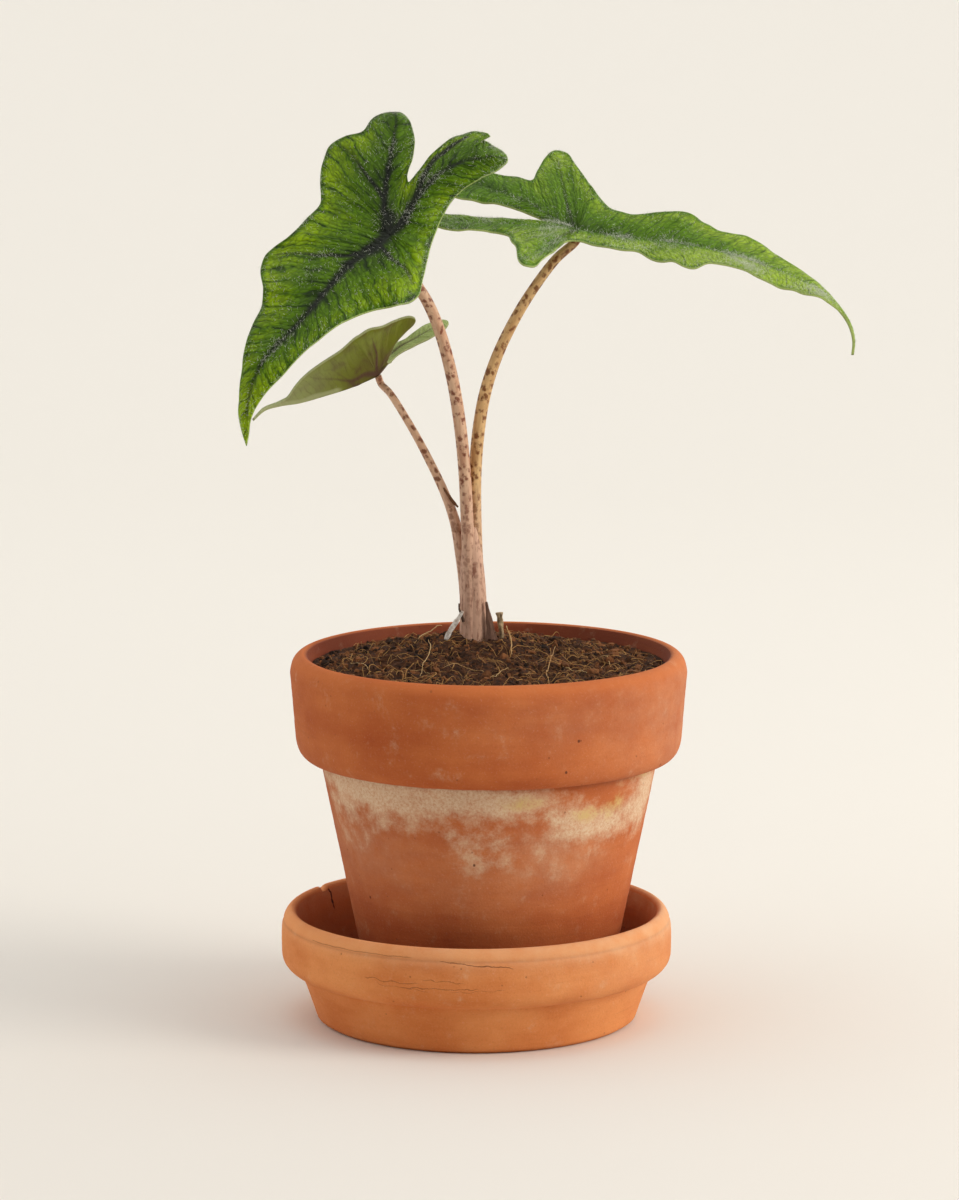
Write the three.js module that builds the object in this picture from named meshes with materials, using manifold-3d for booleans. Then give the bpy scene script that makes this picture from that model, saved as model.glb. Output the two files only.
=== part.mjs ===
// A young alocasia in a clay flowerpot on its saucer: three hairy, lobed, arrow-shaped leaves on
// spotted stalks that rise together from a small tuber in the soil.
// Millimetres, +Z up. The origin is the middle of the saucer's flat underside, +X is to the right
// of the side seen in the photograph, and -Y is towards its viewer.
import * as THREE from "three";
import { mergeVertices } from "three/addons/utils/BufferGeometryUtils.js";
import Module from "manifold-3d";

const wasm = await Module();
wasm.setup();

// ---- Driving dimensions: clay ----

const SEAT_GAP = 0.3; // kept between pieces that rest on or in each other
const CLAY_SIDES = 60; // facets round the pot and the saucer

const SAUCER = {
  footRadius: 55,
  chamfer: 1.2,
  hipRadius: 62.6, // where the slanted foot meets the upright band
  hipZ: 17.6,
  bandRadius: 69.3,
  lipZ: 31, // the rolled lip starts here
  top: 39.5,
  lipWidth: 3.8,
  inside: [[64, 37.5], [60, 22], [56, 10]], // radius and height down the inner wall
  floorRadius: 52.5,
  floorZ: 8,
};

const POT = {
  centreX: 4.4, // it stands a little off the saucer's middle
  height: 122.8,
  baseRadius: 42.3,
  shoulderRadius: 59.8, // under the collar
  collarDrop: 36.6, // from the top of the lip to the underside of the collar
  collarInset: 3.7, // flat part of the collar's underside
  collarRadius: 68.3,
  collarRoll: 8.5, // height of the rounded lower edge
  lipRadius: 70,
  lipDrop: 6.6,
  lipWidth: 4.5,
  mouthRadius: 63.7,
  mouthDrop: 1.8, // from the top of the lip to its inner edge
  neckRadius: 54, // inside, level with the underside of the collar
  floorRadius: 37.5,
  floorThickness: 8,
  drainRadius: 8,
};

// ---- Driving dimensions: soil, tuber and stalks ----

const SOIL = {
  edgeZ: 126.5, // where it meets the pot's wall
  moundHeight: 7.5, // it is heaped round the stem
  moundSpread: 34,
  lump: 1.1, // half the height of its clods
  rings: 13,
  sides: 48,
};

const TUBER = {
  x: 1.8,
  y: 12.2,
  topRadius: 11.5,
  bellyRadius: 12.5,
  height: 22,
  topZ: 118,
  waist: [[1, 0.25], [0.8, 0.7], [0.35, 1]], // parts of the belly's radius and of the height
  sides: 24,
};
const STALK_FOOT_Z = TUBER.topZ + SEAT_GAP;

const STALK_SIDES = 12;
const STALK_STEPS = 26;

// Each stalk's centre line from the tuber towards its blade, and its radius at each of those
// points and at the blade. One that comes in aslant turns square to the blade over its `bend`.
const STALKS = {
  petiole_right: {
    leaf: "leaf_right",
    path: [[0.9, 13.5, STALK_FOOT_Z], [0.9, 13.5, 133], [0.6, 13.5, 151], [-0.2, 13.5, 168],
      [-0.5, 13.7, 190], [0.6, 14, 206.5], [3, 14.6, 221], [7.3, 15.5, 234.4], [13.6, 16.7, 247.4],
      [20.1, 17.8, 257.9], [28, 19, 268.3]],
    radii: [2.7, 2.7, 2.4, 2.3, 2.25, 2.25, 2.15, 2, 1.9, 1.8, 1.7, 1.6],
    bend: 2,
  },
  petiole_front: {
    leaf: "leaf_front",
    path: [[-2.2, 11, STALK_FOOT_Z], [-2.2, 11, 133], [-2.4, 11, 151.6], [-3, 11, 169],
      [-4.2, 10.5, 194.5], [-5.8, 9, 211.1], [-8.4, 7, 227.2], [-12.5, 4, 243.4],
      [-16.7, 1.5, 254.2], [-22.4, -1, 263.9]],
    radii: [2.6, 2.6, 2.4, 2.3, 2.2, 2.2, 2.15, 2.05, 2, 1.9, 1.8],
  },
  petiole_small: {
    leaf: "leaf_small",
    path: [[-3.4, 14.8, STALK_FOOT_Z], [-3.4, 14.8, 133], [-3.9, 14.8, 151], [-5.5, 15, 164],
      [-7.6, 15.6, 175.3], [-11.1, 17.5, 185], [-17.9, 22, 198.7], [-23.8, 26, 208.9], [-30.6, 31.5, 219]],
    radii: [2.3, 2.3, 2.2, 2.1, 1.9, 1.6, 1.45, 1.35, 1.3, 1.25, 1.25],
    bend: 3,
  },
};

const STEM_HOLE = { x: -1.1, y: 13, radius: 6.4 };

// What is left of older stalks round the stem: tapering strips, oval across. Widths and depths
// are half the strip's own at each point of its path.
const HUSKS = {
  dry_sheath_right: {
    path: [[6.2, 9.4, STALK_FOOT_Z], [6.2, 9.4, 134], [5, 9.3, 141], [3.7, 9.2, 147.6]],
    widths: [2.2, 2.1, 1.3, 0.35],
    depths: [1, 1, 0.8, 0.35],
    facing: [0.5, -1, 0],
    hole: 2.7,
    colour: 0x5a3f36,
  },
  sheath_stump: {
    path: [[10, 10.8, STALK_FOOT_Z], [10, 10.8, 134], [9.2, 10.5, 139], [8.5, 10.3, 143.6]],
    widths: [0.9, 0.9, 1.1, 1.0],
    depths: [0.7, 0.7, 0.8, 0.8],
    facing: [0, -1, 0],
    hole: 1.5,
    colour: 0x9b8266,
  },
  dry_sheath_left: {
    path: [[-10.9, 8, 134.6], [-9.4, 8, 137.4], [-7.6, 8.1, 140.8], [-5.9, 8.2, 144.2]],
    widths: [1, 1.3, 1.3, 0.7],
    depths: [0.4, 0.5, 0.5, 0.4],
    facing: [-0.3, -1, 0.3],
    colour: 0xb9b2a4,
  },
};
const HUSK_STEPS = 8;
const HUSK_SIDES = 10;

// ---- Driving dimensions: leaves ----

const BLADE = {
  thickness: 0.7,
  keel: 1.3, // the midrib stands out of the underside by this much at the hub
  keelTaper: 0.8, // and by this part less at the tip
  keelWidth: 1.3,
  vein: 0.4,
  quilt: 0.5, // how far the blade is puffed up between two veins
  quiltReach: 10, // shorter veins have less of it
  droop: 1.6, // how late on its way out the blade turns towards the margin's own height
};
const RIB_STEPS = 40; // points of the rib's curve between two of its control points
const RIB_REACH = 14; // the blade is set square to the rib's run over this distance each way
const HUB_FAN = 0.2; // part of a leg whose veins all start at the hub
const END_FAN = 0.15; // part of a leg whose veins all start at a lobe's end
const MIDRIB_VEINS = 6;
const LOBE_VEINS = 5;

// Every blade is drawn flat, in millimetres from its hub, where the stalk meets it: s along the
// midrib to the tip and t across, to the side that the leaf's `side` vector points to. `rib` is
// the midrib in space, carried on backwards between the two rear lobes; `folds` turn the half
// with negative t and the half with positive t up from the rib, as pairs of s and degrees.
// `lobes` are the ribs of the two rear lobes. The margin is walked once round: 0 at the tip, 1
// level with the hub on the negative side, 2 at that side's rear lobe, 3 in the notch between
// the lobes, 4 at the other rear lobe, 5 level with the hub again and 6 back at the tip. Its
// rows are [place on that walk, s, t, how far the margin stands out of the folded blade].
const LEAVES = {
  leaf_front: {
    rib: [[-15.5, 14, 326], [-22.3, 2, 306], [-30.5, -12, 280.2], [-45.8, -22, 268], [-60.2, -34, 252.4],
      [-72.6, -42, 238.8], [-77.5, -46, 225.6], [-78.4, -47, 210.7]],
    hub: 2,
    side: [0.883, -0.322, -0.341],
    folds: [[[0, 0], [1, 0]], [[0, 0], [1, 0]]],
    lobes: [
      [[0, 0], [-7.3, -4.6], [-13.5, -6.2], [-24.7, -7], [-35.7, -8.1], [-41.5, -9.3]],
      [[0, 0], [-4.3, 2.4], [-15, 4.8], [-25.4, 10.6], [-32.1, 18], [-36.1, 27]],
    ],
    margin: [[0, 96.3, 0, 0], [0.09, 89.5, -2.7, -1], [0.18, 79.6, -4.3, -1], [0.28, 68.6, -7.1, -1],
      [0.38, 56.7, -12.8, -2.5], [0.48, 47.9, -16, -2.5], [0.53, 44, -18.3, -1], [0.62, 35.2, -25.9, -3.5],
      [0.68, 28, -27.4, -3.5], [0.73, 22.2, -24.9, -1.5], [0.79, 11.4, -26.5, -1.5], [0.9, -1.8, -28, -1.5],
      [1.22, -23, -31.3, -4], [1.37, -30.7, -30.4, -4], [1.47, -34.1, -25.8, -2.5], [1.6, -37.1, -20.5, -2.5],
      [1.77, -44.3, -18.2, -4], [1.93, -47.6, -12.9, -4], [2.1, -46.9, -7.6, -4], [2.28, -39.5, -2.1, -1.5],
      [2.48, -31.4, -0.1, -1.5], [2.75, -23.2, 0.1, -0.5], [3, -20.6, 1.1, -0.5], [3.2, -22.8, 2.5, -0.5],
      [3.4, -28.6, 4.8, -0.5], [3.53, -36.9, 8.2, -1.5], [3.63, -45, 12.7, -5], [3.7, -48.3, 18.8, -5],
      [3.76, -44.6, 20, -5], [3.84, -43.4, 24.2, -5], [3.94, -41.7, 29.8, -5], [4.06, -38.6, 32, -5],
      [4.18, -34.6, 30.2, -5], [4.37, -28.3, 24.7, -4], [4.57, -20, 17.8, -4], [4.72, -11.5, 14.1, -5],
      [4.86, -2.5, 14.6, -5], [5, 3.9, 17.8, -6], [5.12, 10.5, 22.4, -6], [5.25, 18.3, 22.3, -3],
      [5.36, 27.6, 16.5, -3], [5.43, 37.6, 12.6, -1], [5.55, 51.4, 9.2, -1], [5.68, 66.2, 8.5, -0.5],
      [5.81, 78.9, 4.2, -0.5], [5.88, 86.6, 1.4, -0.5], [5.95, 92, 0.6, -0.5], [6, 96.3, 0, 0]],
    columns: { midrib: 22, lobe: 14 },
    rows: [0, 0.14, 0.42, 0.72, 1],
    colour: 0x3f7a18,
  },
  leaf_right: {
    rib: [[-7.6, 30, 285.4], [15.4, 26, 283.2], [35.8, 20, 278.8], [52.2, 17, 276.3], [71.4, 14, 274.4],
      [89.2, 11, 270.8], [108, 8, 264.4], [122.9, 5, 256.3], [130.2, 3, 248.1], [132.3, 2, 241.5],
      [132, 2, 236.3]],
    hub: 2,
    side: [0.179, 0.98, 0.091],
    folds: [[[-60, -8], [0, -12], [60, -8], [110, 0]], [[-60, 25], [0, 35], [40, 30], [110, 5]]],
    lobes: [
      [[0, 0], [-9.8, -4], [-20.9, -9], [-32.7, -12], [-45.1, -13]],
      [[0, 0], [-9.9, 2], [-17.8, 6], [-28.3, 10], [-38.3, 14], [-45.9, 15]],
    ],
    margin: [[0, 115.7, 0, 0], [0.07, 105.9, -1.6, 0], [0.13, 100, -3.1, 0], [0.19, 92.1, -6.1, 0],
      [0.25, 84.1, -8.1, -1.2], [0.32, 75, -10, -2], [0.39, 66.1, -12, -0.3], [0.45, 58.1, -13, 0.8],
      [0.5, 49.9, -14, 0.2], [0.56, 43.9, -17, -1.4], [0.61, 36.9, -17, -0.4], [0.65, 30.2, -15, -1.6],
      [0.69, 23.1, -12.5, 0], [0.72, 15, -13, 0.4], [0.75, 8.2, -11, 0], [0.79, 2.1, -10, 0],
      [0.83, -1.1, -12, 0], [0.87, -2.2, -19, 0], [0.91, -3.2, -27, 0], [0.96, -4.8, -35.5, -1],
      [1, -7.4, -38.3, -1], [1.05, -10.7, -35.9, -1], [1.1, -13.5, -29.9, 0], [1.2, -17.8, -24, 0],
      [1.4, -21.8, -18.5, 0], [1.53, -27.5, -18.5, 0], [1.67, -35.6, -20, 0], [1.79, -43, -21, 0],
      [1.92, -50.1, -19, 0], [2.02, -52.1, -14, 0], [2.14, -49.1, -8, 0], [2.25, -43, -5.5, 0],
      [2.38, -35.4, -6.4, 0], [2.51, -26.9, -5.3, 0], [2.67, -19.8, -3.2, 0], [2.85, -14, -1, 0],
      [3, -12, 0, 0], [3.33, -18, 1.6, 0], [3.43, -23.5, 3, 0], [3.54, -30.3, 4.6, 0], [3.67, -37.6, 5.3, 0],
      [3.82, -45.9, 6.5, 0], [3.9, -50.9, 9, 0], [4, -52.9, 15, 0], [4.12, -48.8, 21, 0],
      [4.22, -42.1, 22.5, 0], [4.35, -33.5, 21, 0], [4.48, -27.5, 20, 0], [4.57, -22.7, 18.8, 0],
      [4.67, -22.2, 25, 0], [4.73, -21.6, 32, 0], [4.8, -19.7, 36.7, 0], [4.85, -16, 36.3, 0],
      [4.92, -10.4, 30.3, 0], [5, -3.9, 23.9, 0], [5.12, 2.7, 18, 0], [5.2, 8.7, 13.5, 0],
      [5.26, 16, 12, 0], [5.32, 25.7, 13, 1.2], [5.39, 37.1, 15, 1.2], [5.43, 42.1, 14.5, -0.8],
      [5.46, 46, 12.5, -0.8], [5.55, 58, 12, 0.8], [5.6, 64.9, 11, 0], [5.66, 72, 8.5, 0],
      [5.75, 83.9, 6, 0], [5.85, 96, 3.5, 0], [5.93, 106.1, 1.6, 0], [6, 115.7, 0, 0]],
    columns: { midrib: 24, lobe: 14 },
    rows: [0, 0.14, 0.42, 0.72, 1],
    colour: 0x5a8f22,
  },
  leaf_small: {
    rib: [[-13.1, 52, 236.8], [-25.6, 44, 232.6], [-35.8, 36, 226.7], [-45.1, 33, 222.6], [-53.9, 30, 219.9],
      [-63.1, 28, 217.3], [-70.2, 27, 216.1], [-75.5, 26, 214.5], [-79.7, 26, 210.7]],
    hub: 2,
    side: [0.341, -0.936, -0.085],
    folds: [[[-40, 25], [0, 30], [50, 20]], [[-40, 50], [0, 68], [30, 72], [50, 40]]],
    lobes: [
      [[0, 0], [-9.6, -2.9], [-18.2, -3.8], [-27.1, -5.5], [-34, -6.6]],
      [[0, 0], [-4, 5], [-9.8, 10.2], [-15.1, 13.5]],
    ],
    margin: [[0, 48.7, 0, 0], [0.08, 44.1, -0.6, 0], [0.19, 38, -1.2, 0], [0.3, 31.7, -4, 0],
      [0.42, 26.2, -8.4, 0], [0.54, 19.2, -12.3, 0], [0.65, 11.4, -15, 0], [0.75, 2.1, -16.3, 0],
      [0.84, -0.4, -14.9, 0], [0.93, -5.9, -11.9, 0], [1.1, -12.6, -8, 0], [1.4, -18.7, -5.9, 0],
      [1.6, -25, -8, 0], [1.73, -29.8, -9.4, 0], [1.85, -34, -9.2, 0], [1.95, -37, -8.5, 0],
      [2.03, -38, -6.7, 0], [2.15, -35, -4.2, 0], [2.3, -30, -2.9, 0], [2.45, -25.3, -1.9, 0],
      [2.6, -18.1, -1.3, 0], [2.8, -9.9, -0.8, 0], [3, -5.9, 0.7, 0], [3.35, -7.7, 4.2, 0],
      [3.5, -10.4, 7.4, 0], [3.7, -14.3, 10, 0], [3.85, -17.2, 11.9, 0], [4, -18, 14.2, 0],
      [4.15, -16, 16.2, 0], [4.3, -13.1, 17, 0], [4.5, -9.6, 17.3, 0], [4.7, -5.6, 17.7, 0],
      [4.9, -0.8, 19.1, 0], [5.1, 3.6, 18.7, 0], [5.25, 7.4, 17.7, 0], [5.33, 11.8, 15.4, 0],
      [5.42, 17.6, 13.4, 0], [5.5, 23.6, 11.3, 0], [5.58, 27.9, 8.8, 0], [5.66, 30.9, 5.9, 0],
      [5.74, 34.1, 2.4, 0], [5.8, 37.3, 1, 0], [5.9, 42.6, 0.6, 0], [6, 48.7, 0, 0]],
    columns: { midrib: 16, lobe: 8 },
    rows: [0, 0.2, 0.6, 1],
    colour: 0x6f7f3a,
  },
};

// ---- Shared helpers ----

// A number between the rows of a table of pairs, straight between two rows.
function between(table, at) {
  const next = table.findIndex(([key]) => key > at);
  if (next === 0) return table[0][1];
  if (next < 0) return table[table.length - 1][1];
  const [[k0, v0], [k1, v1]] = [table[next - 1], table[next]];
  return v0 + ((v1 - v0) * (at - k0)) / (k1 - k0);
}

// A smooth curve through rows of [key, values...], which may be unevenly spaced.
function smoothBetween(rows, at) {
  const last = rows.length - 1;
  const found = rows.findIndex(([key]) => key > at);
  const i = found < 0 ? last - 1 : Math.max(found - 1, 0);
  const gradient = (a, b, n) => (rows[b][n] - rows[a][n]) / (rows[b][0] - rows[a][0]);
  const slope = (k, n) => {
    if (k === 0) return gradient(0, 1, n);
    if (k === last) return gradient(last - 1, last, n);
    const before = rows[k][0] - rows[k - 1][0];
    const after = rows[k + 1][0] - rows[k][0];
    return (after * gradient(k - 1, k, n) + before * gradient(k, k + 1, n)) / (before + after);
  };
  const span = rows[i + 1][0] - rows[i][0];
  const x = (at - rows[i][0]) / span;
  return rows[i].slice(1).map((value, column) => {
    const n = column + 1;
    return (2 * x ** 3 - 3 * x ** 2 + 1) * value + (x ** 3 - 2 * x ** 2 + x) * span * slope(i, n)
      + (3 * x ** 2 - 2 * x ** 3) * rows[i + 1][n] + (x ** 3 - x ** 2) * span * slope(i + 1, n);
  });
}

// Points of a quarter of an ellipse between two angles in degrees, both ends included.
function arc(x, z, across, up, from, to, steps) {
  return Array.from({ length: steps + 1 }, (_, i) => {
    const angle = THREE.MathUtils.degToRad(from + ((to - from) * i) / steps);
    return [x + across * Math.cos(angle), z + up * Math.sin(angle)];
  });
}

function volumeOf(points, corners) {
  const [a, b, c] = [new THREE.Vector3(), new THREE.Vector3(), new THREE.Vector3()];
  let volume = 0;
  for (let i = 0; i < corners.length; i += 3) {
    a.fromBufferAttribute(points, corners[i]);
    b.fromBufferAttribute(points, corners[i + 1]);
    c.fromBufferAttribute(points, corners[i + 2]);
    volume += a.dot(b.cross(c)) / 6;
  }
  return volume;
}

// Merges doubled corners, drops the triangles that this closes up and turns the faces outwards.
function weld(geometry) {
  const bare = new THREE.BufferGeometry();
  bare.setAttribute("position", geometry.getAttribute("position").clone());
  if (geometry.index) bare.setIndex(geometry.index.clone());
  const welded = mergeVertices(bare, 1e-3);
  const all = welded.index.array;
  const corners = [];
  for (let i = 0; i < all.length; i += 3) {
    const [a, b, c] = [all[i], all[i + 1], all[i + 2]];
    if (a !== b && b !== c && c !== a) corners.push(a, b, c);
  }
  if (volumeOf(welded.getAttribute("position"), corners) < 0) corners.reverse();
  welded.setIndex(corners);
  return welded;
}

function geometryFrom(points, corners) {
  const geometry = new THREE.BufferGeometry();
  geometry.setAttribute("position", new THREE.Float32BufferAttribute(points.flat(), 3));
  geometry.setIndex(corners);
  return geometry;
}

function toSolid(geometry) {
  const welded = weld(geometry);
  return new wasm.Manifold(new wasm.Mesh({
    numProp: 3,
    vertProperties: new Float32Array(welded.getAttribute("position").array),
    triVerts: new Uint32Array(welded.index.array),
  }));
}

function fromSolid(solid) {
  const mesh = solid.getMesh();
  const geometry = new THREE.BufferGeometry();
  const points = new Float32Array(mesh.vertProperties);
  geometry.setAttribute("position", new THREE.BufferAttribute(points, 3));
  geometry.setIndex(Array.from(mesh.triVerts));
  return geometry;
}

// A profile of [radius, z] pairs turned about an upright axis at (x, y).
function turned(profile, sides, x = 0, y = 0) {
  const points = profile.map(([radius, z]) => new THREE.Vector2(radius, z));
  return weld(new THREE.LatheGeometry(points, sides).rotateX(Math.PI / 2).translate(x, y, 0));
}

function post(x, y, radius, low, high, sides) {
  return new THREE.CylinderGeometry(radius, radius, high - low, sides)
    .rotateX(Math.PI / 2).translate(x, y, (low + high) / 2);
}

// A closed skin over a row of rings with equal numbers of points, with a flat end each side.
function skinOver(rings) {
  const sides = rings[0].length;
  const mean = (ring, axis) => ring.reduce((sum, point) => sum + point[axis], 0) / sides;
  const ends = [rings[0], rings.at(-1)].map((ring) => [0, 1, 2].map((axis) => mean(ring, axis)));
  const points = [...rings.flat(), ...ends];
  const foot = points.length - 2;
  const head = points.length - 1;
  const top = (rings.length - 1) * sides;
  const corners = [];
  for (let side = 0; side < sides; side += 1) {
    const next = (side + 1) % sides;
    for (let ring = 0; ring + 1 < rings.length; ring += 1) {
      const [a, b] = [ring * sides + side, ring * sides + next];
      corners.push(a, b, b + sides, a, b + sides, a + sides);
    }
    corners.push(foot, next, side, head, top + side, top + next);
  }
  return weld(geometryFrom(points, corners));
}

function makeMesh(name, geometry, colour, roughness) {
  const material = new THREE.MeshStandardMaterial({ color: colour, roughness, metalness: 0 });
  const mesh = new THREE.Mesh(geometry, material);
  mesh.name = name;
  return mesh;
}

// ---- Saucer and pot ----

function makeSaucer() {
  const { footRadius, chamfer, hipRadius, hipZ, bandRadius, lipZ, top, lipWidth } = SAUCER;
  const bulge = bandRadius - hipRadius;
  const profile = [
    [0, 0],
    [footRadius, 0],
    [footRadius + chamfer * 1.6, chamfer],
    ...arc(hipRadius, hipZ + bulge, bulge, bulge, -90, -10, 4),
    ...arc(bandRadius - lipWidth, lipZ, lipWidth, top - lipZ, 0, 90, 5),
    ...SAUCER.inside,
    [SAUCER.floorRadius, SAUCER.floorZ],
    [0, SAUCER.floorZ],
  ];
  return makeMesh("saucer", turned(profile, CLAY_SIDES), 0xc97a45, 0.85);
}

const POT_BASE_Z = SAUCER.floorZ + SEAT_GAP;
const POT_TOP_Z = POT_BASE_Z + POT.height;
const POT_FLOOR_Z = POT_BASE_Z + POT.floorThickness;
const COLLAR_Z = POT_TOP_Z - POT.collarDrop;
const MOUTH_Z = POT_TOP_Z - POT.mouthDrop;

function makePot() {
  const rollX = POT.shoulderRadius + POT.collarInset;
  const lipX = POT.lipRadius - POT.lipWidth;
  const profile = [
    [POT.drainRadius, POT_BASE_Z],
    [POT.baseRadius, POT_BASE_Z],
    [POT.shoulderRadius, COLLAR_Z],
    ...arc(rollX, COLLAR_Z + POT.collarRoll, POT.collarRadius - rollX, POT.collarRoll, -90, 0, 4),
    ...arc(lipX, POT_TOP_Z - POT.lipDrop, POT.lipWidth, POT.lipDrop, 0, 90, 4),
    [POT.mouthRadius, MOUTH_Z],
    [POT.neckRadius, COLLAR_Z],
    [POT.floorRadius, POT_FLOOR_Z],
    [POT.drainRadius, POT_FLOOR_Z],
    [POT.drainRadius, POT_BASE_Z],
  ];
  return makeMesh("pot", turned(profile, CLAY_SIDES, POT.centreX), 0xb9673a, 0.85);
}

// The pot's inner radius at a height between its floor and its mouth.
function potInside(z) {
  const { floorRadius, neckRadius, mouthRadius } = POT;
  return between([[POT_FLOOR_Z, floorRadius], [COLLAR_Z, neckRadius], [MOUTH_Z, mouthRadius]], z);
}

// ---- Soil and tuber ----

// Height of the soil's surface: a heap round the stem with clods, flat at the pot's wall.
function soilHeight(x, y) {
  const reach = potInside(SOIL.edgeZ) - SEAT_GAP;
  const out = Math.min(Math.hypot(x - POT.centreX, y) / reach, 1);
  const fromStem = Math.hypot(x - STEM_HOLE.x, y - STEM_HOLE.y) / SOIL.moundSpread;
  const heap = SOIL.moundHeight * Math.exp(-(fromStem ** 2));
  const clods = Math.sin(x * 0.31 + 1.3 * Math.sin(y * 0.23)) * Math.cos(y * 0.37 + Math.sin(x * 0.19));
  return SOIL.edgeZ + (heap + SOIL.lump * clods) * (1 - out ** 6);
}

function tuberProfile(grow) {
  const { topRadius, bellyRadius, height, topZ, waist } = TUBER;
  const grown = waist.map(([wide, down]) => [
    bellyRadius * wide + grow, topZ - height * down - (down === 1 ? grow : 0),
  ]);
  return [
    [0, topZ + grow],
    [topRadius + grow, topZ + grow],
    ...grown,
    [0, topZ - height - grow],
  ];
}

function makeTuber() {
  const geometry = turned(tuberProfile(0), TUBER.sides, TUBER.x, TUBER.y);
  return makeMesh("tuber", geometry, 0x6b4a33, 0.9);
}

function soilBody() {
  const floorZ = POT_FLOOR_Z + SEAT_GAP;
  const edgeRadius = potInside(SOIL.edgeZ) - SEAT_GAP;
  const topRings = Array.from({ length: SOIL.rings }, (_, i) => [
    edgeRadius * (1 - i / SOIL.rings), SOIL.edgeZ,
  ]);
  const profile = [
    [0, floorZ],
    [potInside(floorZ) - SEAT_GAP - 0.1, floorZ],
    [POT.neckRadius - SEAT_GAP, COLLAR_Z],
    ...topRings,
    [0, SOIL.edgeZ],
  ];
  const geometry = turned(profile, SOIL.sides, POT.centreX);
  const points = geometry.getAttribute("position");
  for (let i = 0; i < points.count; i += 1) {
    if (points.getZ(i) > SOIL.edgeZ - 1e-3) points.setZ(i, soilHeight(points.getX(i), points.getY(i)));
  }
  return geometry;
}

// The soil has a hollow for the tuber and a plain hole down to it for each thing that stands on it.
function makeSoil() {
  const skyZ = POT_TOP_Z + SOIL.moundHeight;
  const hollow = turned(tuberProfile(SEAT_GAP), TUBER.sides, TUBER.x, TUBER.y);
  const holes = [
    post(STEM_HOLE.x, STEM_HOLE.y, STEM_HOLE.radius, TUBER.topZ, skyZ, 24),
    ...Object.values(HUSKS).filter(({ hole }) => hole)
      .map(({ path: [[x, y]], hole }) => post(x, y, hole, TUBER.topZ, skyZ, 12)),
  ];
  const solid = [hollow, ...holes].reduce((body, gap) => body.subtract(toSolid(gap)), toSolid(soilBody()));
  return makeMesh("soil", fromSolid(solid), 0x3b271b, 1);
}

// ---- Leaf blades ----

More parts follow.
